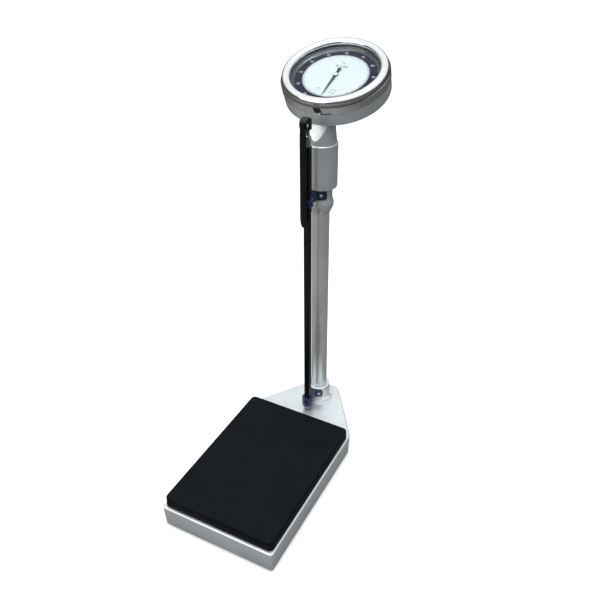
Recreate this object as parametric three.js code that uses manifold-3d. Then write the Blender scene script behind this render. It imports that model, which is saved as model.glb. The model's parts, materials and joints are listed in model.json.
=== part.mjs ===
// A physician's dial scale with a height rod: a lever platform on a low housing, a round
// column at the back, a tilted round dial on top and a telescopic rod with a folding arm.
// Millimetres, +Z up, +Y from the platform towards the column, X across. The origin is on
// the floor, under the middle of the object's bounding box.
import * as THREE from "three";
import { mergeVertices } from "three/addons/utils/BufferGeometryUtils.js";
import Module from "manifold-3d";

const wasm = await Module();
wasm.setup();

// ---- Driving dimensions. Y is counted from the mat's front edge, Z from the floor. ----
const GAP = 0.3; // clearance left between pieces that touch or nest
const ROUND = 40; // sides of a large round piece
const SMALL_ROUND = 20; // sides of a pin, screw or boss

const matWidth = 275;
const matLength = 378;
const matTop = 92;
const matThickness = 4;
const matSkirt = 3;
const skirtBottom = 66;

const footHeight = 7;
const baseBottom = 6;
const baseTop = 64;
const baseWall = 3;
const baseHalf = 141.5; // half width
const baseFront = -6;
const shoulderY = 384; // where the neck of the housing starts to narrow
const neckEndY = 537;
const neckEndHalf = 34;
const baseDraft = 2.5; // how far the side walls lean in at the bottom

const columnY = 488;
const columnRadius = 20;
const columnWall = 2.5;
const flangeRadius = 36.5;
const flangeTop = 72;
const boltCircle = 32.5;
const bossRadius = 28;
const bossTop = 106;
const bandBottom = 614.7;
const bandRadius = 28.3;
const collarRadius = 25.5;
const cowlBottom = 676;
const cowlTop = 777;
const cowlRadius = 36;
const neckSlope = THREE.MathUtils.degToRad(69); // the neck's front face above the horizontal

const dialTilt = THREE.MathUtils.degToRad(20.8); // dial face above the horizontal
const dialY = columnY + 57.5; // middle of the plane the dial's depths are counted from
const dialZ = 913.5;
const bezelRadius = 116.4;
const bezelDepth = 27;
const rimRadius = 9.5; // of the rolled rim's half-round section
const rimMiddle = 104;
const rimCrown = 5; // how far the rolled rim stands out in front of that plane
const drumRadius = 115.4;
const drumSpigot = 112.6; // radius of the drum inside the bezel
const drumBack = 56;
const faceDepth = 16.6;

const rodY = columnY - 64;
const rodWidth = 15;
const rodDepth = 13;
const rodBottom = 80;
const cupRadius = 14.8;
const rodTop = 787;
const headTop = 850;
const armPivotY = rodY - 14.5;
const armPivotZ = 836;
const armLength = 227;
const armKnuckle = 4.4; // half width of the arm between the cheeks
const headBottom = 823;
const barTop = 837;

// The lever work: both levers turn about knife edges and carry the platform on two more.
const loadArm = 45; // fulcrum to load knife, on both levers
const drawY = columnY - 4; // the draw rod hangs inside the column
const longFulcrumY = drawY - 450;
const shortFulcrumY = 340;
const noseY = (longFulcrumY + shortFulcrumY) / 2; // the short lever presses on the long one here
const longEdgeZ = 38;
const shortEdgeZ = 57;

// The indicator: draw rod, bell crank, rack and pinion.
const crankArm = 24;
const crankZ = 806.3;
const crankY = drawY + crankArm;
const rackArm = 57.9;
const crankHalfTurn = 0.2083; // radians either side of mid travel
const toothModule = 0.5;
const pinionTeeth = 16;
const pitchRadius = (toothModule * pinionTeeth) / 2;
const rackDepth = 27; // depth of the rack's upper face
const rackThickness = 4;
const seatTop = 693;
const springLength = 60;

// ---- Materials ----
const finish = (color, roughness, metalness, more = {}) =>
  new THREE.MeshStandardMaterial({ color, roughness, metalness, ...more });
const greyPaint = finish(0xb9bfbe, 0.4, 0.1);
const chrome = finish(0xe4e6e6, 0.08, 1);
const blackPaint = finish(0x141516, 0.35, 0.1);
const blackRubber = finish(0x1b1d1f, 0.8, 0);
const bluePlastic = finish(0x1d2c5e, 0.4, 0);
const steel = finish(0xa9abad, 0.35, 1);
const castIron = finish(0x4a4c4e, 0.7, 0.8);
const brass = finish(0xb5934a, 0.35, 1);
const glass = finish(0xffffff, 0.05, 0, { transparent: true, opacity: 0.2 });
const dialWhite = finish(0xe6ebf2, 0.5, 0);
const dialNavy = finish(0x141a33, 0.5, 0);

// ---- Solids ----
const vector = (x, y, z) => new THREE.Vector3(x, y, z);

// A closed three.js geometry as a manifold-3d solid.
function solid(geometry) {
  const bare = geometry.clone();
  bare.deleteAttribute("normal");
  bare.deleteAttribute("uv");
  const merged = mergeVertices(bare, 1e-4);
  return new wasm.Manifold(
    new wasm.Mesh({
      numProp: 3,
      vertProperties: merged.attributes.position.array,
      triVerts: new Uint32Array(merged.index.array),
    }),
  );
}

// The solid's surface as a three.js geometry.
function surface(body) {
  const mesh = body.getMesh();
  const geometry = new THREE.BufferGeometry();
  const corners = new Float32Array(mesh.vertProperties);
  geometry.setAttribute("position", new THREE.BufferAttribute(corners, 3));
  geometry.setIndex(new THREE.BufferAttribute(new Uint32Array(mesh.triVerts), 1));
  return geometry;
}

function join(first, ...others) {
  return surface(others.reduce((sum, other) => sum.add(solid(other)), solid(first)));
}

function cut(first, ...others) {
  return surface(others.reduce((left, other) => left.subtract(solid(other)), solid(first)));
}

const moved = (geometry, x, y, z) => geometry.clone().translate(x, y, z);

function box(x0, x1, y0, y1, z0, z1) {
  const block = new THREE.BoxGeometry(x1 - x0, y1 - y0, z1 - z0);
  return block.translate((x0 + x1) / 2, (y0 + y1) / 2, (z0 + z1) / 2);
}

// A shape drawn in X and Y, standing from z0 to z1.
function upright(shape, z0, z1, curveSegments = 6) {
  const depth = z1 - z0;
  const geometry = new THREE.ExtrudeGeometry(shape, { depth, bevelEnabled: false, curveSegments });
  return geometry.translate(0, 0, z0);
}

// A shape drawn in Y and Z, running from x0 to x1.
function across(shape, x0, x1, curveSegments = 6) {
  const turn = new THREE.Matrix4().makeBasis(vector(0, 1, 0), vector(0, 0, 1), vector(1, 0, 0));
  return upright(shape, x0, x1, curveSegments).applyMatrix4(turn);
}

// A shape drawn in X and Z, running from y0 to y1.
function along(shape, y0, y1, curveSegments = 6) {
  const turn = new THREE.Matrix4().makeBasis(vector(1, 0, 0), vector(0, 0, 1), vector(0, -1, 0));
  return upright(shape, -y1, -y0, curveSegments).applyMatrix4(turn);
}

// A closed outline of [radius, height] points, anticlockwise, turned round the Z axis.
function turned(profile, sides = ROUND) {
  const points = [...profile, profile[0]].map(([r, z]) => new THREE.Vector2(r, z));
  return new THREE.LatheGeometry(points, sides).rotateX(Math.PI / 2);
}

function disc(radius, z0, z1, x = 0, y = 0, sides = SMALL_ROUND) {
  const geometry = new THREE.CylinderGeometry(radius, radius, z1 - z0, sides).rotateX(Math.PI / 2);
  return geometry.translate(x, y, (z0 + z1) / 2);
}

function pinAcross(radius, x0, x1, y, z, sides = SMALL_ROUND) {
  const geometry = new THREE.CylinderGeometry(radius, radius, x1 - x0, sides).rotateZ(Math.PI / 2);
  return geometry.translate((x0 + x1) / 2, y, z);
}

const polygon = (points) => new THREE.Shape(points.map(([x, y]) => new THREE.Vector2(x, y)));

// A polygon with each corner [x, y, radius] rounded.
function roundedPolygon(corners) {
  const shape = new THREE.Shape();
  const count = corners.length;
  corners.forEach(([x, y, radius], i) => {
    const corner = new THREE.Vector2(x, y);
    const before = new THREE.Vector2(...corners[(i + count - 1) % count].slice(0, 2));
    const after = new THREE.Vector2(...corners[(i + 1) % count].slice(0, 2));
    const start = corner.clone().add(before.sub(corner).setLength(radius));
    const end = corner.clone().add(after.sub(corner).setLength(radius));
    if (i === 0) shape.moveTo(start.x, start.y);
    else shape.lineTo(start.x, start.y);
    shape.quadraticCurveTo(x, y, end.x, end.y);
  });
  shape.closePath();
  return shape;
}

function roundedRect(x0, x1, y0, y1, radius) {
  return roundedPolygon([
    [x0, y0, radius],
    [x1, y0, radius],
    [x1, y1, radius],
    [x0, y1, radius],
  ]);
}

// ---- Assembly ----
const scale = new THREE.Group();
const dialFrame = new THREE.Group(); // +Z points out of the dial's face
dialFrame.position.set(0, dialY, dialZ);
dialFrame.rotation.x = dialTilt;
scale.add(dialFrame);
dialFrame.updateMatrixWorld(true);
const intoDial = dialFrame.matrixWorld.clone().invert();
const outOfDial = dialFrame.matrixWorld.clone();

function place(name, geometry, material, group = scale) {
  const mesh = new THREE.Mesh(geometry, material);
  mesh.name = name;
  group.add(mesh);
  return mesh;
}

// ---- Housing ----
const frontCorner = 9;
const shoulderCorner = 16;
const neckCorner = 18;
const footX = 112;
const footRadius = 13;
const openingHalf = 120; // the opening under the platform
const openingFront = 20;
const openingBack = 360;
const columnHole = 16;
const plateThickness = 2;

function baseOutline(inset) {
  const half = baseHalf - inset;
  const endHalf = neckEndHalf - inset * 0.8;
  const shoulder = shoulderY - inset * 0.4;
  return roundedPolygon([
    [-half, baseFront + inset, frontCorner],
    [half, baseFront + inset, frontCorner],
    [half, shoulder, shoulderCorner],
    [endHalf, neckEndY - inset, neckCorner],
    [-endHalf, neckEndY - inset, neckCorner],
    [-half, shoulder, shoulderCorner],
  ]);
}

// Leans the upright walls in towards the bottom.
function drafted(geometry) {
  const position = geometry.attributes.position;
  const middle = (baseFront + neckEndY) / 2;
  for (let i = 0; i < position.count; i++) {
    const share = (baseTop - position.getZ(i)) / (baseTop - baseBottom);
    const acrossShare = 1 - (share * baseDraft) / baseHalf;
    const alongShare = 1 - (share * baseDraft) / (neckEndY - middle);
    position.setX(i, position.getX(i) * acrossShare);
    position.setY(i, middle + (position.getY(i) - middle) * alongShare);
  }
  return geometry;
}

function baseHousing() {
  const opening = roundedRect(-openingHalf, openingHalf, openingFront, openingBack, 10);
  const below = baseTop - 2 * baseWall;
  const shell = cut(
    upright(baseOutline(0), baseBottom, baseTop),
    upright(baseOutline(baseWall), baseBottom - 1, baseTop - baseWall),
    upright(opening, below, baseTop + 1),
    disc(columnHole, below, baseTop + 1, 0, columnY),
  );
  return drafted(shell);
}

place("base_housing", baseHousing(), greyPaint);
const plateOutline = baseOutline(baseWall + baseDraft + 1);
place("bottom_plate", upright(plateOutline, footHeight, footHeight + plateThickness), blackPaint);
for (const [end, y] of [["front", 24], ["rear", 354]]) {
  for (const [side, x] of [["left", -footX], ["right", footX]]) {
    const profile = [
      [0, 0],
      [footRadius - 2, 0],
      [footRadius, 2],
      [footRadius, footHeight],
      [0, footHeight],
    ];
    place(`rubber_foot_${end}_${side}`, moved(turned(profile, SMALL_ROUND), x, y, 0), blackRubber);
  }
}

// ---- Platform ----
const matCorner = 14;

function treadMat() {
  const half = matWidth / 2;
  const outer = roundedRect(-half, half, 0, matLength, matCorner);
  const innerHalf = half - matSkirt;
  const innerCorner = matCorner - matSkirt;
  const inner = roundedRect(-innerHalf, innerHalf, matSkirt, matLength - matSkirt, innerCorner);
  return cut(
    upright(outer, skirtBottom, matTop),
    upright(inner, skirtBottom - 1, matTop - matThickness),
  );
}

const panSheet = 2.5;

function platformPan() {
  const wall = 2;
  const inset = matSkirt + GAP;
  const sides = (extra) => [
    -matWidth / 2 + inset + extra,
    matWidth / 2 - inset - extra,
    inset + extra,
    matLength - inset - extra,
  ];
  const panTop = matTop - matThickness;
  const corner = matCorner - inset;
  return cut(
    upright(roundedRect(...sides(0), corner), skirtBottom + 2, panTop),
    upright(roundedRect(...sides(wall), corner - wall), skirtBottom, panTop - panSheet),
  );
}

// A bar under the pan with two legs, each notched to sit on a knife edge.
function platformBearing(y, edgeZ, legX) {
  const panUnderside = matTop - matThickness - panSheet;
  const barHalf = 10;
  const barThickness = 5;
  const legHalf = 7;
  const legThickness = 10;
  const notchHalf = 4.3;
  const notchDepth = 4;
  const leg = polygon([
    [y - legHalf, edgeZ - notchDepth],
    [y - notchHalf, edgeZ - notchDepth],
    [y, edgeZ + GAP],
    [y + notchHalf, edgeZ - notchDepth],
    [y + legHalf, edgeZ - notchDepth],
    [y + legHalf, panUnderside - 4],
    [y - legHalf, panUnderside - 4],
  ]);
  const outer = legX + legThickness / 2;
  const inner = legX - legThickness / 2;
  return join(
    box(-outer, outer, y - barHalf, y + barHalf, panUnderside - barThickness, panUnderside),
    across(leg, -outer, -inner),
    across(leg, inner, outer),
  );
}

const longLegX = 91;
const shortLegX = 72;
place("tread_mat", treadMat(), blackRubber);
place("platform_pan", platformPan(), steel);
const longLoadY = longFulcrumY + loadArm;
const shortLoadY = shortFulcrumY - loadArm;
place("front_platform_bearing", platformBearing(longLoadY, longEdgeZ, longLegX), steel);
place("rear_platform_bearing", platformBearing(shortLoadY, shortEdgeZ, shortLegX), steel);

// ---- Levers ----
// A knife bar: a triangle whose edge points down (side -1) or up (side 1), run across.
function knife(y, edgeZ, side, halfLength, grow = 0) {
  const half = 4.5 + grow;
  const back = edgeZ - side * (8 + grow);
  const tip = edgeZ + side * grow * 2;
  const corners = [[y - half, back], [y + half, back], [y, tip]];
  if (side < 0) corners.reverse();
  return across(polygon(corners), -halfLength, halfLength);
}

// A beam across the housing's floor with two posts, each notched to carry a knife edge.
function fulcrumBeam(y, edgeZ, postX) {
  const floor = footHeight + plateThickness;
  const beamHalf = 12;
  const beamHeight = 10;
  const postHalf = 8;
  const postThickness = 10;
  const notchHalf = 4.6;
  const notchDepth = 4;
  const post = polygon([
    [y - postHalf, floor + 8],
    [y + postHalf, floor + 8],
    [y + postHalf, edgeZ + notchDepth],
    [y + notchHalf, edgeZ + notchDepth],
    [y, edgeZ - GAP],
    [y - notchHalf, edgeZ + notchDepth],
    [y - postHalf, edgeZ + notchDepth],
  ]);
  const outer = postX + postThickness / 2;
  const inner = postX - postThickness / 2;
  return join(
    box(-postX - 9, postX + 9, y - beamHalf, y + beamHalf, floor, floor + beamHeight),
    across(post, -outer, -inner),
    across(post, inner, outer),
  );
}

// A forked lever: two arms at +-armX from openY to waistY, closing on a middle bar at joinY.
function forkedLever({ armX, openY, waistY, joinY, tailY, z0, z1 }) {
  const armHalf = 5;
  const barHalf = 8;
  const towardsTail = Math.sign(joinY - openY);
  const right = [
    [armX + armHalf, openY],
    [armX + armHalf, waistY],
    [barHalf, joinY],
    [barHalf, tailY],
  ];
  const inside = [
    [armX - armHalf, openY],
    [armX - armHalf, waistY - 5 * towardsTail],
    [0, joinY - 14 * towardsTail],
  ];
  const mirror = ([x, y]) => [-x, y];
  const outline = [
    ...right,
    ...right.slice().reverse().map(mirror),
    ...inside.slice(0, 2).map(mirror),
    inside[2],
    ...inside.slice(0, 2).reverse(),
  ];
  return upright(polygon(openY > joinY ? outline.reverse() : outline), z0, z1);
}

const leverHalf = 8; // half the levers' thickness
const longTop = longEdgeZ + leverHalf;
const longBottom = longEdgeZ - leverHalf;
const shortTop = shortEdgeZ + leverHalf;
const shortBottom = shortEdgeZ - leverHalf;
const stirrupFloor = 24; // the long lever's nose knife rests on this bar

const longLeverBlank = forkedLever({
  armX: 79,
  openY: longFulcrumY - 10,
  waistY: 100,
  joinY: 190,
  tailY: drawY + 9,
  z0: longBottom,
  z1: longTop,
});
const shortLeverBlank = forkedLever({
  armX: 59,
  openY: shortFulcrumY + 10,
  waistY: 262,
  joinY: noseY + 18,
  tailY: noseY - 8,
  z0: shortBottom,
  z1: shortTop,
});
const noseWedge = polygon([
  [noseY, longTop + GAP],
  [noseY + 5, shortBottom + 1],
  [noseY - 5, shortBottom + 1],
]);

place(
  "long_lever",
  cut(
    longLeverBlank,
    knife(longFulcrumY, longEdgeZ, -1, 100, GAP),
    knife(longLoadY, longEdgeZ, 1, 100, GAP),
    knife(drawY, stirrupFloor + GAP, -1, 12, GAP),
  ),
  castIron,
);
place("long_fulcrum_knife", knife(longFulcrumY, longEdgeZ, -1, longLegX + 6), steel);
place("long_load_knife", knife(longLoadY, longEdgeZ, 1, longLegX + 6), steel);
place("long_nose_knife", knife(drawY, stirrupFloor + GAP, -1, 9.5), steel);
place(
  "short_lever",
  cut(
    join(shortLeverBlank, across(noseWedge, -7, 7)),
    knife(shortFulcrumY, shortEdgeZ, -1, 80, GAP),
    knife(shortLoadY, shortEdgeZ, 1, 80, GAP),
  ),
  castIron,
);
place("short_fulcrum_knife", knife(shortFulcrumY, shortEdgeZ, -1, shortLegX + 6), steel);
place("short_load_knife", knife(shortLoadY, shortEdgeZ, 1, shortLegX + 6), steel);
place("front_fulcrum_beam", fulcrumBeam(longFulcrumY, longEdgeZ, longLegX), castIron);
place("rear_fulcrum_beam", fulcrumBeam(shortFulcrumY, shortEdgeZ, shortLegX), castIron);

// ---- Column ----
function columnFoot() {
  const profile = [
    [14, baseTop],
    [flangeRadius, baseTop],
    [flangeRadius, flangeTop - 1.5],
    [flangeRadius - 1.5, flangeTop],
    [bossRadius + 0.5, flangeTop],
    [bossRadius, bossTop - 2],
    [bossRadius - 2, bossTop],
    [columnRadius + GAP, bossTop],
    [columnRadius + GAP, flangeTop + 2],
    [14, flangeTop + 2],
  ];
  return moved(turned(profile), 0, columnY, 0);
}

// A hexagon bolt with its washer, standing on the flange.
function flangeBolt(angle) {
  const x = boltCircle * Math.cos(angle);
  const y = columnY + boltCircle * Math.sin(angle);
  const washer = disc(3.5, flangeTop, flangeTop + 1, x, y);
  const hexagon = disc(3.2, flangeTop + 0.8, flangeTop + 4, x, y, 6);
  return join(washer, hexagon);
}

function columnTube() {
  const inner = columnRadius - columnWall;
  const profile = [
    [inner, flangeTop + 2 + GAP],
    [columnRadius, flangeTop + 2 + GAP],
    [columnRadius, seatTop - 3 - GAP],
    [inner, seatTop - 3 - GAP],
  ];
  return moved(turned(profile), 0, columnY, 0);
}

function columnBand() {
  const bore = columnRadius + GAP;
  const profile = [
    [bore, bandBottom],
    [columnRadius + 2, bandBottom],
    [bandRadius, bandBottom + 11],
    [bandRadius, bandBottom + 28],
    [collarRadius, bandBottom + 33],
    [collarRadius, cowlBottom],
    [bore, cowlBottom],
  ];
  return moved(turned(profile), 0, columnY, 0);
}

const zeroZ = 685;
function headCowl() {
  const inner = cowlRadius - 2.5;
  const profile = [
    [columnRadius + GAP, cowlBottom],
    [cowlRadius, cowlBottom],
    [cowlRadius, cowlTop - 4],
    [cowlRadius - 1.2, cowlTop - 1.2],
    [cowlRadius - 4, cowlTop],
    [28, cowlTop],
    [28, cowlTop - 3],
    [inner, cowlTop - 3],
    [inner, cowlBottom + 3],
    [columnRadius + GAP, cowlBottom + 3],
  ];
  const stemHole = disc(3.4, 0, 20, 0, 0).rotateX(-Math.PI / 2);
  return cut(moved(turned(profile), 0, columnY, 0), stemHole.translate(0, columnY + 25, zeroZ));
}

// The drum's outside as a full solid, in the dial frame, grown by a clearance.
function drumEnvelope(grow) {
  const back = -drumBack - grow;
  const round = 9;
  const corner = [0, 1, 2, 3].map((step) => {
    const angle = (step / 3) * (Math.PI / 2);
    const radius = round + grow;
    return [drumRadius - 1 - round + radius * Math.sin(angle), back + radius - radius * Math.cos(angle)];
  });
  const shoulder = -bezelDepth - GAP;
  return [
    [0, back],
    ...corner,
    [drumRadius + grow, shoulder],
    [drumSpigot + grow, shoulder],
    [drumSpigot + grow, -14.3],
    [0, -14.3],
  ];
}

// Everything in front of the neck's sloping front face, moved back by a distance.
function beforeSlope(back) {
  const footY = columnY - 32 + back;
  const footZ = cowlTop + 11;
  const low = footZ - 30;
  const high = footZ + 92;
  const yAt = (z) => footY + (z - footZ) / Math.tan(neckSlope);
  const shape = polygon([[yAt(low), low], [yAt(high), high], [columnY - 90, high], [columnY - 90, low]]);
  return across(shape, -50, 50);
}

function headNeck() {
  const lower = cowlRadius - 2.5;
  const upper = 29.5;
  const bottom = cowlTop + GAP;
  const waist = bottom + 26;
  const top = bottom + 80;
  const outer = [
    [0, bottom],
    [lower, bottom],
    [upper + 1, waist],
    [upper, top],
    [0, top],
  ];
  const inner = [
    [0, bottom - 1],
    [28.6, bottom - 1],
    [28.3, waist],
    [27.6, top + 5],
    [0, top + 5],
  ];
  const drum = turned(drumEnvelope(GAP)).applyMatrix4(outOfDial);
  const bore = cut(moved(turned(inner), 0, columnY, 0), beforeSlope(2.7));
  return cut(moved(turned(outer), 0, columnY, 0), beforeSlope(0), bore, drum);
}

place("column_foot", columnFoot(), greyPaint);
[0, Math.PI / 2, Math.PI].forEach((angle, i) => {
  place(`flange_bolt_${i + 1}`, flangeBolt(angle), steel);
});
place("column_tube", columnTube(), greyPaint);
place("column_band", columnBand(), greyPaint);
place("head_cowl", headCowl(), greyPaint);
place("head_neck", headNeck(), greyPaint);

// ---- Dial head, drawn in the dial frame ----
function dialDrum() {
  const wall = 2.5;
  const inner = [
    [0, -drumBack + wall],
    [drumRadius - 12, -drumBack + wall],
    [drumSpigot - wall, -drumBack + wall + 8],
    [drumSpigot - wall, -faceDepth - 4.4],
    [104, -faceDepth - 4.4],
    [104, -faceDepth - 1.8],
    [drumSpigot - wall, -faceDepth - 1.8],
    [drumSpigot - wall, -11],
    [0, -11],
  ];
  const passage = cut(disc(24, 780, 862, 0, columnY, ROUND), beforeSlope(5));
  return cut(turned(drumEnvelope(0)), turned(inner), passage.applyMatrix4(intoDial));
}

// A band round the drum with a rolled rim on its front; the glass sits in the rim's underside.
function bezelRing() {
  const seat = -7.8;
  const shoulder = rimCrown - rimRadius;
  const arc = [];
  for (let step = 0; step <= 8; step++) {
    const angle = (step / 8) * Math.PI;
    arc.push([rimMiddle + rimRadius * Math.cos(angle), shoulder + rimRadius * Math.sin(angle)]);
  }
  const inside = drumSpigot + 0.6;
  const band = [
    [inside, -bezelDepth],
    [bezelRadius, -bezelDepth],
    [bezelRadius, shoulder - 1],
    [bezelRadius - 1, shoulder],
  ];
  const underside = [[rimMiddle - rimRadius, seat], [107.5, seat], [109.5, -10.5], [inside, -14]];
  return turned([...band, ...arc, ...underside], 48);
}

const faceRadius = 109.8;
const discRadius = 71.5;

function pointerShape() {
  const reach = 66;
  const tailDisc = 20;
  const shape = new THREE.Shape();
  shape.moveTo(0.7, -reach);
  shape.lineTo(4.2, -14);
  shape.lineTo(6, 0);
  shape.lineTo(2, 8);
  shape.lineTo(2, 17);
  shape.absarc(0, tailDisc, 4.4, -1.1, Math.PI + 1.1, false);
  shape.lineTo(-2, 8);
  shape.lineTo(-6, 0);
  shape.lineTo(-4.2, -14);
  shape.lineTo(-0.7, -reach);
  shape.closePath();
  return shape;
}

// One involute tooth space after another, with the space on the +X side at rest.
function pinionShape() {
  const pressure = THREE.MathUtils.degToRad(20);
  const base = pitchRadius * Math.cos(pressure);
  const involute = (r) => {
    const angle = Math.acos(Math.min(1, base / r));
    return Math.tan(angle) - angle;
  };
  const pitchHalf = Math.PI / (2 * pinionTeeth) - 0.0125;
  const halfAt = (r) => pitchHalf + Math.tan(pressure) - pressure - involute(Math.max(r, base));
  const heights = [0, 0.45, 0.9]; // up the tooth from the pitch circle, in modules
  const radii = [pitchRadius - 1.3 * toothModule, base];
  heights.forEach((height) => radii.push(pitchRadius + height * toothModule));
  const points = [];
  for (let tooth = 0; tooth < pinionTeeth; tooth++) {
    const middle = ((tooth + 0.5) / pinionTeeth) * 2 * Math.PI;
    for (const r of radii) points.push([r, middle - halfAt(r)]);
    for (const r of radii.slice().reverse()) points.push([r, middle + halfAt(r)]);
  }
  return polygon(points.map(([r, a]) => [r * Math.cos(a), r * Math.sin(a)]));
}

const crankInDial = vector(0, crankY, crankZ).applyMatrix4(intoDial);
const rackSlotY = crankInDial.y + rackArm * Math.sin(crankHalfTurn); // the crank's pin at rest

// Rack teeth point to -X and mesh with the pinion at Y 0. The front end is slotted for the
// crank's pin.
function rack() {
  const pitch = Math.PI * toothModule;
  const tip = pitchRadius - 0.9 * toothModule;
  const root = pitchRadius + 1.2 * toothModule;
  const slope = Math.tan(THREE.MathUtils.degToRad(20));
  const half = pitch / 4 - 0.05;
  const points = [[9, -58], [9, 29], [root, 29]];
  for (let tooth = 17; tooth >= -1; tooth--) {
    const y = tooth * pitch;
    const atRoot = half + 1.2 * toothModule * slope;
    const atTip = half - 0.9 * toothModule * slope;
    points.push([root, y + atRoot], [tip, y + atTip], [tip, y - atTip], [root, y - atRoot]);
  }
  points.push([root, -58]);
  const z0 = -rackDepth - rackThickness;
  const bar = upright(polygon(points), z0, -rackDepth);
  const end = box(5, 9, rackSlotY - 5, rackSlotY + 5, -34.5, -24.5);
  return cut(join(bar, end), box(4, 10, rackSlotY - 1.8, rackSlotY + 1.8, -32.4, -26.8));
}

// The frame that carries the pinion arbor, guides the rack and holds the crank's pin.
function movementFrame() {
  const top = -36;
  const floor = top - 2.5;
  const plate = cut(box(-16, 16, -84, 25, floor, top), box(-8.5, 8.5, -92, -52, floor - 1, top + 1));
  const postPlaces = [[-13, 20], [13, 20], [-13, -44], [13, -44]];
  const posts = postPlaces.map(([x, y]) => disc(2.5, -drumBack + 2.5, floor + 0.5, x, y, 12));
  const fence = box(9.4, 13, -20, 20, top - 1, -26);
  const shelf = box(6, 13, -20, 20, top - 1, -rackDepth - rackThickness - GAP);
  const ears = [-11, 8.8].map((x) => box(x, x + 2.2, -77.6, -68.6, -91.2, top - 1));
  const pinHole = pinAcross(3 + GAP, -20, 20, crankY, crankZ).applyMatrix4(intoDial);
  return cut(join(plate, ...posts, fence, shelf, ...ears), disc(1.5 + GAP, -45, -30), pinHole);
}

place("dial_drum", dialDrum(), greyPaint, dialFrame);
place("bezel_ring", bezelRing(), chrome, dialFrame);
place("dial_glass", disc(106.5, -9.8, -7.9, 0, 0, ROUND), glass, dialFrame);

// A flat ring drawn in the dial frame.
function washer(inner, outer, z0, z1) {
  return turned([[inner, z0], [outer, z0], [outer, z1], [inner, z1]]);
}

const spacer = [
  [89, -faceDepth + GAP],
  [faceRadius, -faceDepth + GAP],
  [faceRadius, -14],
  [106, -10.1],
  [96.5, -10.1],
];
const ring = washer(66, faceRadius, -faceDepth - 1.5, -faceDepth);
const sheet = washer(3, discRadius, -faceDepth + GAP, -faceDepth + 1.8);
place("dial_spacer", turned(spacer), steel, dialFrame);
place("dial_ring", ring, dialNavy, dialFrame);
place("dial_disc", sheet, dialWhite, dialFrame);
place("movement_frame", movementFrame(), steel, dialFrame);
place("rack", rack(), brass, dialFrame);
place("pointer", cut(upright(pointerShape(), -13.2, -12), disc(1.5 + GAP, -14, -11)), steel, dialFrame);
place(
  "pointer_arbor",
  join(disc(1.5, -41, -11.8), upright(pinionShape(), -rackDepth - rackThickness + GAP, -rackDepth - GAP)),
  steel,
  dialFrame,
);
const capProfile = [[0, -11.5], [5, -11.5], [4.2, -10.7], [2.2, -10.2], [0, -10.1]];
place("pointer_cap", turned(capProfile, SMALL_ROUND), chrome, dialFrame);

// ---- Draw rod, spring and bell crank ----
const forkZ = crankZ + crankArm * Math.sin(crankHalfTurn); // the fork's pin at rest

function drawRod() {
  const cheek = (x) => box(x, x + 2.4, drawY - 3.5, drawY + 3.5, forkZ - 12, forkZ + 4);
  return join(
    disc(2.5, 57, forkZ - 11, 0, drawY, 12),
    box(-5, 5, drawY - 3.5, drawY + 3.5, forkZ - 15, forkZ - 11.5),
    cheek(-5),
    cheek(2.6),
    pinAcross(1.5, -4, 4, drawY, forkZ, 12),
  );
}

// The loop that hangs round the long lever's nose.
function drawStirrup() {
  const loop = cut(
    box(-13, 13, drawY - 5, drawY + 5, stirrupFloor - 3, 56),
    box(-10, 10, drawY - 6, drawY + 6, stirrupFloor, 52),
  );
  return cut(loop, disc(2.5 + GAP, 51, 60, 0, drawY, 12));
}

class Helix extends THREE.Curve {
  constructor(radius, height, turns) {
    super();
    Object.assign(this, { radius, height, turns });
  }
  getPoint(t, target = new THREE.Vector3()) {
    const angle = t * this.turns * 2 * Math.PI;
    return target.set(this.radius * Math.cos(angle), this.radius * Math.sin(angle), this.height * t);
  }
}

function mainSpring() {
  const wire = 1.6;
  const turns = 7;
  const circle = new THREE.Shape().absarc(0, 0, wire, 0, 2 * Math.PI, false);
  const path = new Helix(14, springLength - 2 * wire - 2 * GAP, turns);
  const coil = new THREE.ExtrudeGeometry(circle, { steps: turns * 12, extrudePath: path, curveSegments: 3 });
  return coil.translate(0, drawY, seatTop + wire + GAP);
}

// The crank as it stands at rest, a half turn short of its middle position.
function bellCrank() {
  const at = ([y, z]) => {
    const c = Math.cos(-crankHalfTurn);
    const s = Math.sin(-crankHalfTurn);
    return [crankY + y * c - z * s, crankZ + y * s + z * c];
  };
  const tip = [-rackArm * Math.sin(dialTilt), rackArm * Math.cos(dialTilt)];
  const side = [4 * Math.cos(dialTilt), 4 * Math.sin(dialTilt)];
  const rackSide = polygon(
    [
      [-side[0], -side[1]],
      [side[0], side[1]],
      [tip[0] + side[0] * 0.7, tip[1] + side[1] * 0.7 + 2.5],
      [tip[0] - side[0] * 0.7, tip[1] - side[1] * 0.7 + 2.5],
    ].map(at),
  );
  const pullEnd = -crankArm - 4.5;
  const pullSide = polygon([[pullEnd, -3.6], [0, -4.5], [0, 4.5], [pullEnd, 3.6]].map(at));
  const slotEnds = [-crankArm - 2.6, -crankArm + 2.6];
  const slotHalf = 1.85;
  const slot = polygon(
    [
      [slotEnds[0], -slotHalf],
      [slotEnds[1], -slotHalf],
      [slotEnds[1], slotHalf],
      [slotEnds[0], slotHalf],
    ].map(at),
  );
  const [tipY, tipZ] = at(tip);
  const body = join(
    pinAcross(5, -8.4, 8.4, crankY, crankZ),
    across(rackSide, 1, 3.4),
    across(pullSide, -2, 2),
    pinAcross(1.5, 2, 8.6, tipY, tipZ, 12),
  );
  return cut(body, across(slot, -3, 3), pinAcross(3 + GAP, -10, 10, crankY, crankZ));
}

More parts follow.
